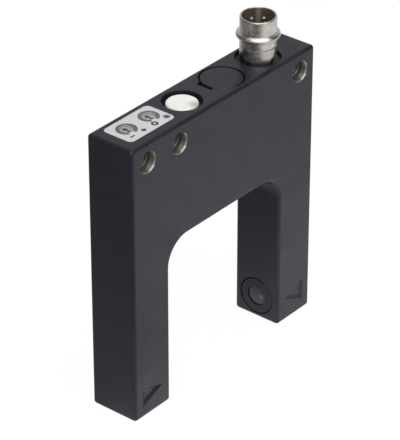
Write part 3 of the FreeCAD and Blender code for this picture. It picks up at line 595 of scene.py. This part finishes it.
class ShapeTree:
    """A Geometry Nodes tree with named inputs, run once on a mesh to give a plain mesh."""

    def __init__(self, name: str, sizes: dict[str, object]) -> None:
        """Make the tree and its inputs.

        Args:
            name: the tree's name.
            sizes: a number, vector or count for each named input.
        """
        tree = bpy.data.node_groups.new(name, "GeometryNodeTree")
        face = tree.interface
        face.new_socket("Geometry", in_out="INPUT", socket_type="NodeSocketGeometry")
        kinds = {float: "NodeSocketFloat", int: "NodeSocketInt", Vector: "NodeSocketVector"}
        for label, value in sizes.items():
            face.new_socket(label, in_out="INPUT", socket_type=kinds[type(value)])
        face.new_socket("Geometry", in_out="OUTPUT", socket_type="NodeSocketGeometry")
        self.graph = Graph(tree)
        self.sizes = sizes
        self.given = self.graph.add("NodeGroupInput").outputs

    def close(self, shape: Socket, material: bpy.types.Material) -> None:
        """End the tree with real geometry in one material.

        Args:
            shape: what the tree has made.
            material: its finish.
        """
        solid = self.graph.add("GeometryNodeRealizeInstances", {"Geometry": shape})
        painted = self.graph.add("GeometryNodeSetMaterial",
                                 {"Geometry": solid.outputs[0], "Material": material})
        self.graph.add("NodeGroupOutput", {0: painted.outputs[0]})

    def bake(self, name: str, base: bpy.types.Mesh) -> bpy.types.Object:
        """Run the tree and keep what it makes as a plain mesh.

        Args:
            name: the new piece's name.
            base: the mesh that the tree starts from.

        Returns:
            The new piece.
        """
        piece = place_mesh(name, base)
        modifier = piece.modifiers.new(self.graph.tree.name, "NODES")
        modifier.node_group = self.graph.tree
        for item in self.graph.tree.interface.items_tree:
            if item.in_out == "INPUT" and item.name in self.sizes:
                modifier[item.identifier] = self.sizes[item.name]
        view = bpy.context.evaluated_depsgraph_get()
        solid = bpy.data.meshes.new_from_object(piece.evaluated_get(view))
        piece.modifiers.remove(modifier)
        piece.data = solid
        solid.name = name
        return piece


def place_mesh(name: str, mesh: bpy.types.Mesh) -> bpy.types.Object:
    """Put a mesh in the scene, with the object at the origin.

    Args:
        name: the piece's name.
        mesh: its mesh, already in place.

    Returns:
        The new object.
    """
    piece = bpy.data.objects.new(name, mesh)
    bpy.context.scene.collection.objects.link(piece)
    return piece


def soften(mesh: bpy.types.Mesh, angle: float = 35.0) -> None:
    """Shade a mesh smooth, apart from edges sharper than an angle in degrees."""
    mesh.polygons.foreach_set("use_smooth", [True] * len(mesh.polygons))
    mesh.set_sharp_from_angle(angle=math.radians(angle))


def round_corners(corners: list[Corner], radius: float, steps: int = 4) -> list[Corner]:
    """Round every corner of a closed outline that has room for it.

    Args:
        corners: the outline's corners in order.
        radius: how far the rounding reaches along each side.
        steps: how many short sides make one rounding.

    Returns:
        The outline with its corners rounded.
    """
    rounded = []
    count = len(corners)
    for index, corner in enumerate(corners):
        here = Vector(corner)
        before = Vector(corners[index - 1]) - here
        after = Vector(corners[(index + 1) % count]) - here
        reach = min(radius, before.length * CORNER_SHARE, after.length * CORNER_SHARE)
        start = here + before.normalized() * reach
        end = here + after.normalized() * reach
        for step in range(steps + 1):
            share = step / steps
            spot = start * (1 - share) ** 2 + here * 2 * share * (1 - share) + end * share ** 2
            rounded.append((spot.x, spot.y))
    return rounded


def turn_profile(name: str, profile: list[Corner], place: Matrix, segments: int) -> bpy.types.Mesh:
    """Turn a closed profile round an axis, as on a lathe.

    Args:
        name: the mesh's name.
        profile: radius and height of each corner.
        place: where the axis goes; the profile's height runs along its z.
        segments: how many sides the turned form has.

    Returns:
        The closed mesh.
    """
    form = bmesh.new()
    rings = []
    for step in range(segments):
        spin = Matrix.Rotation(TURN * step / segments, 4, "Z")
        rings.append([form.verts.new(place @ spin @ Vector((r, 0, h))) for r, h in profile])
    for step, ring in enumerate(rings):
        beside = rings[(step + 1) % segments]
        for index in range(len(profile)):
            above = (index + 1) % len(profile)
            form.faces.new((ring[index], beside[index], beside[above], ring[above]))
    return close_form(form, name)


def close_form(form: bmesh.types.BMesh, name: str) -> bpy.types.Mesh:
    """Join doubled corners, turn the faces outwards and write the mesh.

    Args:
        form: the form built so far, which is freed.
        name: the mesh's name.

    Returns:
        The mesh, shaded smooth apart from sharp edges.
    """
    bmesh.ops.remove_doubles(form, verts=form.verts, dist=WELD)
    bmesh.ops.recalc_face_normals(form, faces=form.faces)
    mesh = bpy.data.meshes.new(name)
    form.to_mesh(mesh)
    form.free()
    soften(mesh)
    return mesh


def add_slab(form: bmesh.types.BMesh, outline: list[Corner], low: float, high: float) -> None:
    """Add a flat plate with any outline.

    Args:
        form: the form that it is added to.
        outline: x and y of its corners in order.
        low: the height of its under side.
        high: the height of its upper side.
    """
    under = [form.verts.new((x, y, low)) for x, y in outline]
    upper = [form.verts.new((x, y, high)) for x, y in outline]
    form.faces.new(under[::-1])
    form.faces.new(upper)
    for index in range(len(outline)):
        beside = (index + 1) % len(outline)
        form.faces.new((under[index], under[beside], upper[beside], upper[index]))


def add_band(form: bmesh.types.BMesh, inner: list[Corner], outer: list[Corner],
             low: float, high: float) -> None:
    """Add a flat plate with a hole, both outlines with as many corners.

    Args:
        form: the form that it is added to.
        inner: x and y of the hole's corners in order.
        outer: x and y of the plate's corners in order.
        low: the height of its under side.
        high: the height of its upper side.
    """
    loops = [[form.verts.new((x, y, z)) for x, y in outline]
             for outline, z in ((inner, low), (outer, low), (outer, high), (inner, high))]
    for index in range(len(inner)):
        beside = (index + 1) % len(inner)
        for here, there in zip(loops, loops[1:] + loops[:1]):
            form.faces.new((here[index], here[beside], there[beside], there[index]))


def circle(middle: Corner, radius: float, count: int = 28) -> list[Corner]:
    """Work out the corners of a circle in order."""
    turns = [TURN * step / count for step in range(count)]
    return [(middle[0] + radius * math.cos(turn), middle[1] + radius * math.sin(turn)) for turn in turns]


def finish_piece(piece: bpy.types.Object, body: str) -> bpy.types.Object:
    """Make a piece ride on its body and hand the piece back."""
    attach(piece, body)
    return piece


def put_over(node: str, mesh: bpy.types.Mesh, slot: str, store: FinishStore) -> bpy.types.Object:
    """Put a finer mesh in the place of a node, in the finish of its slot.

    Args:
        node: the node that it replaces.
        mesh: the finer mesh, already in place, whose name the piece gets.
        slot: the slot that its finish belongs to.
        store: where its material comes from.

    Returns:
        The new piece.
    """
    mesh.materials.append(store.give(FINISHES[slot]))
    piece = finish_piece(place_mesh(mesh.name, mesh), SENSOR)
    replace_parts(piece, node)
    return piece


@dataclass
class ThreadedInserts:
    """The three steel inserts of the front face, each with its countersink and cut thread."""

    store: FinishStore
    bore: float = 1.7 * MM
    mouth: float = 2.2 * MM
    mouth_depth: float = 0.5 * MM
    proud: float = 0.25 * MM
    pitch: float = 0.7 * MM
    depth: float = 0.14 * MM
    lead: float = 0.5 * MM
    flank: Span = (0.12, 0.88)
    bore_margin: float = 1.02
    rim: float = 0.05 * MM
    crease: float = 60.0
    rings_per_turn: int = 10
    segments: int = 56

    def profile(self, outer: float, length: float) -> list[Corner]:
        """Work out the insert's half section, with fine steps along the bore.

        Args:
            outer: its outer radius.
            length: its length.

        Returns:
            Radius and depth below the front face of each corner.
        """
        sink = self.mouth_depth + self.mouth - self.bore
        count = round((length - sink) / self.pitch * self.rings_per_turn)
        bore = [(self.bore, length - (length - sink) * step / count) for step in range(count + 1)]
        return bore + [(self.mouth, self.mouth_depth), (outer - self.rim, self.rim),
                       (outer - self.rim / 2, 0.0), (outer, self.rim), (outer, length)]

    def thread(self, start: Vector, end: float) -> ShapeTree:
        """Write the tree that cuts the thread into the bore.

        Args:
            start: the middle of the bore where the thread starts.
            end: how far back the thread reaches.

        Returns:
            The tree.
        """
        sizes = {"Start": start, "End": end, "Pitch": self.pitch, "Depth": self.depth,
                 "Bore": self.bore, "Lead": self.lead}
        tree = ShapeTree("cut_thread", sizes)
        graph, given = tree.graph, tree.given
        place = graph.add("GeometryNodeInputPosition").outputs[0]
        x, y, z = graph.split(graph.vector("SUBTRACT", place, given["Start"]))
        arm = graph.join(x=x, z=z)
        reach = graph.measure("LENGTH", arm)
        angle = graph.math("DIVIDE", graph.math("ARCTAN2", z, x), TURN)
        turns = graph.math("FRACT", graph.math("ADD", graph.math("DIVIDE", y, given["Pitch"]), angle))
        ridge = graph.math("ABSOLUTE", graph.math("SUBTRACT", graph.math("MULTIPLY", turns, 2.0), 1.0))
        wave = graph.fit(ridge, self.flank)
        rise = graph.math("DIVIDE", y, given["Lead"])
        left = graph.math("SUBTRACT", given["End"], graph.split(place)[1])
        fall = graph.math("DIVIDE", left, given["Lead"])
        fade = graph.math("MINIMUM", graph.fit(rise, (0.0, 1.0)), graph.fit(fall, (0.0, 1.0)))
        cut = graph.math("MULTIPLY", graph.math("MULTIPLY", wave, fade), given["Depth"])
        outward = graph.vector("MULTIPLY", graph.vector("NORMALIZE", arm), graph.join(x=cut, z=cut))
        limit = graph.math("MULTIPLY", given["Bore"], self.bore_margin)
        moved = graph.add("GeometryNodeSetPosition",
                          {"Geometry": given["Geometry"], "Offset": outward,
                           "Selection": graph.math("LESS_THAN", reach, limit)})
        tree.close(moved.outputs[0], self.store.give(FINISHES["steel_thread"]))
        return tree

    def build(self) -> list[bpy.types.Object]:
        """Build the inserts over their nodes.

        Returns:
            The three inserts.
        """
        pieces = []
        for number in (1, 2, 3):
            node = f"mounting_insert_{number}"
            low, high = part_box(node)
            axis = middle_of(node)
            front = low.y - self.proud
            place = Matrix.Translation((axis.x, front, axis.z)) @ Matrix.Rotation(-TURN / 4, 4, "X")
            profile = self.profile((high.x - low.x) / 2, high.y - front)
            shell = turn_profile(node + "_blank", profile, place, self.segments)
            start = Vector((axis.x, front + self.mouth_depth + self.mouth - self.bore, axis.z))
            piece = self.thread(start, high.y).bake(f"threaded_insert_{number}", shell)
            soften(piece.data, self.crease)
            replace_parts(finish_piece(piece, SENSOR), node)
            pieces.append(piece)
        return pieces


@dataclass
class PlugSleeve:
    """The plated sleeve of the plug, turned with the soft edges of the real one."""

    store: FinishStore
    bead_rise: float = 0.8 * MM
    bead_top: float = 6.3 * MM
    bead_height: float = 1.5 * MM
    bead_power: float = 0.55
    bead_steps: int = 16
    groove_sink: float = 0.22 * MM
    groove_top: float = 3.3 * MM
    groove_height: float = 0.25 * MM
    groove_slope: float = 0.08 * MM
    wall: float = 0.5 * MM
    rim: float = 0.25 * MM
    rim_steps: int = 5
    edge: float = 0.05 * MM
    seat: float = 1.5 * MM
    floor: float = 0.6 * MM
    stem: float = 2.9 * MM
    stem_bore: float = 2.55 * MM
    segments: int = 128

    def bead(self, radius: float) -> list[Corner]:
        """Work out the rounded snap bead.

        Args:
            radius: the sleeve's radius beside it.

        Returns:
            Radius and height of the bead's corners, from the bottom up.
        """
        corners = []
        for step in range(self.bead_steps + 1):
            share = step / self.bead_steps
            swell = math.sin(math.pi * share) ** self.bead_power
            height = self.bead_top - self.bead_height * (1 - share)
            corners.append((radius + self.bead_rise * swell, height))
        return corners

    def profile(self, radius: float, bottom: float, top: float) -> list[Corner]:
        """Work out the half section of the sleeve and its stem.

        Args:
            radius: the sleeve's radius.
            bottom: the height of the stem's end.
            top: the height of the rim.

        Returns:
            Radius and height above the deck of each corner.
        """
        bore = radius - self.wall
        below = round_corners([(self.stem_bore, bottom), (self.stem, bottom), (self.stem, -self.seat),
                               (radius, -self.seat)], self.edge)
        sunk = radius - self.groove_sink
        groove_low = self.groove_top - self.groove_height
        groove = [(radius, groove_low - self.groove_slope), (sunk, groove_low),
                  (sunk, self.groove_top), (radius, self.groove_top + self.groove_slope)]
        turns = [TURN / 4 * step / self.rim_steps for step in range(self.rim_steps + 1)]
        rim = [(radius - self.rim * (1 - math.cos(turn)), top - self.rim * (1 - math.sin(turn)))
               for turn in turns]
        rim += [(bore + self.rim / 2, top), (bore, top - self.rim / 2)]
        inside = [(bore, -self.floor), (self.stem_bore, -self.floor)]
        return below + groove + self.bead(radius) + rim + inside

    def build(self) -> list[bpy.types.Object]:
        """Turn the sleeve over its node.

        Returns:
            The sleeve.
        """
        node = "connector_shell"
        low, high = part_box(node)
        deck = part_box("housing")[1].z
        profile = self.profile((high.x - low.x) / 2 - self.bead_rise, low.z - deck, high.z - deck)
        place = Matrix.Translation(Vector(PLUG_AXIS) + Vector((0.0, 0.0, deck)))
        mesh = turn_profile("plug_sleeve", profile, place, self.segments)
        return [put_over(node, mesh, "plug_nickel", self.store)]


@dataclass
class BeamLenses:
    """The two smoked lenses of the light beam, each with the strong crown of a real one."""

    store: FinishStore
    crown: float = 0.22 * MM
    rim: float = 0.1 * MM
    steps: int = 14
    segments: int = 64

    def profile(self, radius: float, length: float) -> list[Corner]:
        """Work out the half section of a lens.

        Args:
            radius: its radius.
            length: its whole length along the beam.

        Returns:
            Radius and height of each corner, from the back up to the crown.
        """
        edge = length - self.crown
        ball = (radius ** 2 + self.crown ** 2) / (2 * self.crown)
        dome = []
        for step in range(self.steps + 1):
            reach = radius * (1 - step / self.steps)
            dome.append((reach, length - ball + math.sqrt(ball ** 2 - reach ** 2)))
        return [(0.0, 0.0), (radius - self.rim, 0.0), (radius, self.rim), (radius, edge - self.rim), *dome]

    def build(self) -> list[bpy.types.Object]:
        """Turn the lenses over their nodes, each crown towards the gap.

        Returns:
            The two lenses.
        """
        pieces = []
        for node in ("emitter_lens", "receiver_lens"):
            low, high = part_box(node)
            middle = middle_of(node)
            inward = -math.copysign(1.0, middle.x)
            back = low.x if inward > 0 else high.x
            place = (Matrix.Translation((back, middle.y, middle.z))
                     @ Matrix.Rotation(inward * TURN / 4, 4, "Y"))
            profile = self.profile((high.y - low.y) / 2, high.x - low.x)
            mesh = turn_profile(node + "_crowned", profile, place, self.segments)
            pieces.append(put_over(node, mesh, "lens_smoke", self.store))
        return pieces


@dataclass
class LabelPrint:
    """The grey marks printed on the label plate, one set round each rotor."""

    store: FinishStore
    ink: float = 0.012 * MM
    ring_inner: float = 1.52 * MM
    ring_outer: float = 2.30 * MM
    ring_sweep: float = math.radians(322)
    ring_start: float = math.radians(277)
    ring_steps: int = 60
    row: float = -2.9 * MM
    mark_left: float = -1.5 * MM
    mark_plus: float = 1.95 * MM
    mark_sun: float = 2.2 * MM
    mark_width: float = 1.3 * MM
    stroke: float = 0.42 * MM
    dot_inner: float = 0.32 * MM
    dot_outer: float = 0.82 * MM
    sun: float = 0.48 * MM
    ray: float = 0.42 * MM
    ray_width: float = 0.252 * MM
    ray_middle: float = 0.669 * MM
    rays: int = 8

    def rings(self, first: Vector, pitch: float) -> ShapeTree:
        """Write the tree that draws the turning arc round each rotor.

        Args:
            first: the middle of the first arc.
            pitch: the distance to the second.

        Returns:
            The tree.
        """
        middle = (self.ring_inner + self.ring_outer) / 2
        sizes = {"First": first, "Pitch": pitch, "Radius": middle, "Start": self.ring_start,
                 "Sweep": self.ring_sweep, "Width": self.ring_outer - self.ring_inner,
                 "Thickness": self.ink, "Count": 2}
        tree = ShapeTree("turning_arcs", sizes)
        graph, given = tree.graph, tree.given
        arc = graph.add("GeometryNodeCurveArc",
                        {"Resolution": self.ring_steps, "Radius": given["Radius"],
                         "Start Angle": given["Start"], "Sweep Angle": given["Sweep"]})
        section = graph.add("GeometryNodeCurvePrimitiveQuadrilateral",
                            {"Width": given["Width"], "Height": given["Thickness"]})
        band = graph.add("GeometryNodeCurveToMesh",
                         {"Curve": arc.outputs[0], "Profile Curve": section.outputs[0], "Fill Caps": True})
        spots = graph.add("GeometryNodeMeshLine",
                          {"Count": given["Count"], "Offset": graph.join(x=given["Pitch"]),
                           "Start Location": given["First"]})
        placed = graph.add("GeometryNodeInstanceOnPoints",
                           {"Points": spots.outputs[0], "Instance": band.outputs[0]})
        tree.close(placed.outputs[0], self.store.give(RING_INK))
        return tree

    def sun_rays(self, middle: Vector) -> ShapeTree:
        """Write the tree that sets the rays round the light mark.

        Args:
            middle: the middle of the mark.

        Returns:
            The tree.
        """
        sizes = {"Middle": middle, "Reach": self.ray_middle, "Length": self.ray,
                 "Width": self.ray_width, "Thickness": self.ink, "Count": self.rays}
        tree = ShapeTree("sun_rays", sizes)
        graph, given = tree.graph, tree.given
        ring = graph.add("GeometryNodeMeshCircle", {"Vertices": given["Count"], "Radius": given["Reach"]})
        size = graph.join(given["Length"], given["Width"], given["Thickness"])
        bar = graph.add("GeometryNodeMeshCube", {"Size": size})
        index = graph.add("GeometryNodeInputIndex").outputs[0]
        angle = graph.math("MULTIPLY", graph.math("DIVIDE", index, given["Count"]), TURN)
        facing = graph.add("FunctionNodeEulerToRotation", {0: graph.join(z=angle)}).outputs[0]
        placed = graph.add("GeometryNodeInstanceOnPoints",
                           {"Points": ring.outputs[0], "Instance": bar.outputs[0], "Rotation": facing})
        moved = graph.add("GeometryNodeTransform",
                          {"Geometry": placed.outputs[0], "Translation": given["Middle"]})
        tree.close(moved.outputs[0], self.store.give(MARK_INK))
        return tree

    def marks(self, spots: dict[str, Corner], level: float) -> bpy.types.Mesh:
        """Draw the minus, plus, dark and light marks.

        Args:
            spots: the middle of each mark, by name.
            level: the height of the label's face.

        Returns:
            The marks as one mesh.
        """
        form = bmesh.new()
        half, thin = self.mark_width / 2, self.stroke / 2
        for name, across, along in (("minus", half, thin), ("plus", half, thin), ("plus", thin, half)):
            x, y = spots[name]
            outline = [(x - across, y - along), (x + across, y - along),
                       (x + across, y + along), (x - across, y + along)]
            add_slab(form, outline, level, level + self.ink)
        add_slab(form, circle(spots["light"], self.sun), level, level + self.ink)
        inner, outer = circle(spots["dark"], self.dot_inner), circle(spots["dark"], self.dot_outer)
        add_band(form, inner, outer, level, level + self.ink)
        return close_form(form, "label_marks")

    def build(self) -> list[bpy.types.Object]:
        """Print the label.

        Returns:
            The arcs, the rays and the other marks.
        """
        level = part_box("label_plate")[1].z
        first, y, _ = middle_of("sensitivity_rotor")
        second = middle_of("mode_rotor").x
        row = y + self.row
        spots = {"minus": (first + self.mark_left, row), "plus": (first + self.mark_plus, row),
                 "dark": (second + self.mark_left, row), "light": (second + self.mark_sun, row)}
        lift = level + self.ink / 2
        rings = self.rings(Vector((first, y, lift)), second - first)
        rays = self.sun_rays(Vector((*spots["light"], lift)))
        blank = bpy.data.meshes.new("no_start")
        marks = self.marks(spots, level)
        marks.materials.append(self.store.give(MARK_INK))
        pieces = (rings.bake("turning_arcs", blank), rays.bake("light_mark_rays", blank.copy()),
                  place_mesh("label_marks", marks))
        return [finish_piece(piece, SENSOR) for piece in pieces]


class Side(Enum):
    """Where a lamp stands, as seen from the front of the sensor."""

    OVERHEAD = Vector((-0.20, -0.30, 0.93))
    OVER_CAMERA = Vector((-0.60, -0.48, 0.64))
    FRONT = Vector((0.10, -0.75, 0.65))


@dataclass(frozen=True)
class SoftLamp:
    """One square soft box that faces the sensor."""

    name: str
    side: Side
    width: float
    level: float
    distance: float = 0.60

    def build(self, aim: Vector) -> None:
        """Hang the lamp.

        Args:
            aim: the point that it faces.
        """
        data = bpy.data.lights.new(self.name, "AREA")
        data.shape = "SQUARE"
        data.size = self.width
        data.energy = self.level * (math.pi * self.distance) ** 2
        lamp = bpy.data.objects.new(self.name, data)
        toward = self.side.value.normalized()
        lamp.matrix_world = (Matrix.Translation(aim + toward * self.distance)
                             @ toward.to_track_quat("Z", "Y").to_matrix().to_4x4())
        bpy.context.scene.collection.objects.link(lamp)


@dataclass(frozen=True)
class Pool:
    """A round patch of the floor that gloss sees brighter or darker than the rest."""

    x: float
    y: float
    reach: float
    level: float


@dataclass
class Studio:
    """The plain studio: a pale floor, a white rear wall that gloss picks up, and soft lamps."""

    floor_size: float = 6.0
    floor_drop: float = 0.05 * MM
    floor_colour: Colour = (0.80, 0.80, 0.80)
    wall: Place = (0.78, 0.62, 0.0)
    wall_span: Span = (0.25, 1.0)
    wall_level: float = 0.62
    window: Place = (-0.78, -0.62, 0.0)
    window_span: Span = (0.3, 1.0)
    window_level: float = 0.45
    room_level: float = 0.06
    fill_level: float = 0.42
    sweep: Place = (0.9, -0.43, 0.0)
    sweep_span: Span = (-110.0 * MM, 40.0 * MM)
    sweep_levels: Span = (0.20, 0.70)
    pools: tuple[Pool, ...] = (
        Pool(45.0 * MM, -20.0 * MM, 75.0 * MM, 0.25),
        Pool(-8.0 * MM, 26.0 * MM, 42.0 * MM, -0.26),
        Pool(-80.0 * MM, -90.0 * MM, 80.0 * MM, -0.40),
        Pool(-15.0 * MM, -14.0 * MM, 32.0 * MM, 0.12),
        Pool(-22.0 * MM, -8.0 * MM, 22.0 * MM, 0.40),
        Pool(-50.0 * MM, 92.0 * MM, 52.0 * MM, -0.20),
    )
    lamps: tuple[SoftLamp, ...] = (
        SoftLamp("overhead_box", Side.OVERHEAD, 0.66, 0.66),
        SoftLamp("camera_box", Side.OVER_CAMERA, 0.24, 0.07),
        SoftLamp("front_box", Side.FRONT, 0.30, 0.08),
    )
    backdrop_share: float = 0.9
    backdrop_level: float = 1.05

    def rays(self, graph: Graph) -> tuple[Socket, Socket]:
        """Tell the rays apart.

        Args:
            graph: the tree that needs them.

        Returns:
            Whether a ray is the camera's, and whether it is a reflected or refracted one.
        """
        path = graph.add("ShaderNodeLightPath").outputs
        mirrored = graph.math("MAXIMUM", path["Is Glossy Ray"], path["Is Transmission Ray"])
        return path["Is Camera Ray"], mirrored

    def build_world(self) -> None:
        """Write the world: white behind the sensor, a dim room round it."""
        world = bpy.data.worlds.new("studio")
        world.use_nodes = True
        graph = Graph(world.node_tree)
        seen, mirrored = self.rays(graph)
        toward = graph.add("ShaderNodeTexCoord").outputs["Generated"]
        behind = graph.measure("DOT_PRODUCT", toward, self.wall)
        before = graph.measure("DOT_PRODUCT", toward, self.window)
        wall = graph.fit(behind, self.wall_span, (self.room_level, self.wall_level), smooth=True)
        window = graph.fit(before, self.window_span, (0.0, self.window_level), smooth=True)
        lit = graph.mix(mirrored, self.fill_level, graph.math("ADD", wall, window))
        strength = graph.mix(seen, lit, 1.0)
        light = graph.add("ShaderNodeBackground", {"Strength": strength, "Color": (1.0, 1.0, 1.0, 1.0)})
        graph.add("ShaderNodeOutputWorld", {"Surface": light.outputs[0]})
        bpy.context.scene.world = world

    def build_floor(self) -> None:
        """Lay the floor, white to the camera apart from the sensor's faint shadow."""
        form = bmesh.new()
        bmesh.ops.create_grid(form, x_segments=1, y_segments=1, size=self.floor_size / 2)
        mesh = close_form(form, "studio_floor")
        material = bpy.data.materials.new("floor_paper")
        material.use_nodes = True
        graph = Graph(material.node_tree)
        seen, mirrored = self.rays(graph)
        place = graph.add("ShaderNodeTexCoord").outputs["Object"]
        across = graph.measure("DOT_PRODUCT", place, self.sweep)
        glow_level = graph.fit(across, self.sweep_span, self.sweep_levels, smooth=True)
        # For reflections the floor glows: its sweep and pools are painted light and painted shade, among
        # them the sensor's painted shadow behind it.
        for pool in self.pools:
            away = graph.measure("DISTANCE", place, (pool.x, pool.y, 0.0))
            patch = graph.fit(away, (0.0, pool.reach), (pool.level, 0.0), smooth=True)
            glow_level = graph.math("ADD", glow_level, patch)
        paper = graph.add("ShaderNodeBsdfDiffuse", {"Color": shade(self.floor_colour, 1.0)}).outputs[0]
        strength = graph.mix(seen, glow_level, self.backdrop_level)
        glow = graph.add("ShaderNodeEmission", {"Strength": strength})
        share = graph.math("MAXIMUM", mirrored, graph.math("MULTIPLY", seen, self.backdrop_share))
        mixed = graph.add("ShaderNodeMixShader", {0: share, 1: paper, 2: glow.outputs[0]})
        graph.add("ShaderNodeOutputMaterial", {"Surface": mixed.outputs[0]})
        mesh.materials.append(material)
        mesh.transform(Matrix.Translation((0.0, 0.0, CAD_BOX[0][2] - self.floor_drop)))
        place_mesh("studio_floor", mesh)

    def build(self) -> None:
        """Set up the world, the floor and the lamps."""
        self.build_world()
        self.build_floor()
        middle = (Vector(CAD_BOX[0]) + Vector(CAD_BOX[1])) / 2
        for lamp in self.lamps:
            lamp.build(middle)


@dataclass
class Viewpoint:
    """The photograph's camera."""

    azimuth: float = 50.56
    elevation: float = 31.30
    distance: float = 582.4 * MM
    lens: float = 223.36
    sensor_width: float = 36.0
    near_clip: float = 10.0 * MM
    aim: Place = (-0.52 * MM, 0.63 * MM, 33.92 * MM)

    def build(self) -> None:
        """Set up the camera and the view settings."""
        data = bpy.data.cameras.new("photograph")
        data.lens = self.lens
        data.sensor_width = self.sensor_width
        data.clip_start = self.near_clip
        camera = bpy.data.objects.new("photograph", data)
        turn, lift = math.radians(self.azimuth), math.radians(self.elevation)
        away = Vector((-math.sin(turn) * math.cos(lift), -math.cos(turn) * math.cos(lift), math.sin(lift)))
        camera.matrix_world = (Matrix.Translation(Vector(self.aim) + away * self.distance)
                               @ away.to_track_quat("Z", "Y").to_matrix().to_4x4())
        bpy.context.scene.collection.objects.link(camera)
        bpy.context.scene.camera = camera
        bpy.context.scene.view_settings.view_transform = "Standard"


def main() -> None:
    """Build the studio and every sub-assembly in order."""
    logging.basicConfig(level=logging.INFO, format="%(name)s: %(message)s")
    Viewpoint().build()
    Studio().build()
    store = FinishStore()
    for node in store.dress_frame():
        LOG.info("%s dressed", node.name)
    for assembly in (ThreadedInserts(store), PlugSleeve(store), BeamLenses(store), LabelPrint(store)):
        for piece in assembly.build():
            LOG.info("%s built, %d faces", piece.name, len(piece.data.polygons))


if __name__ == "__main__":
    main()
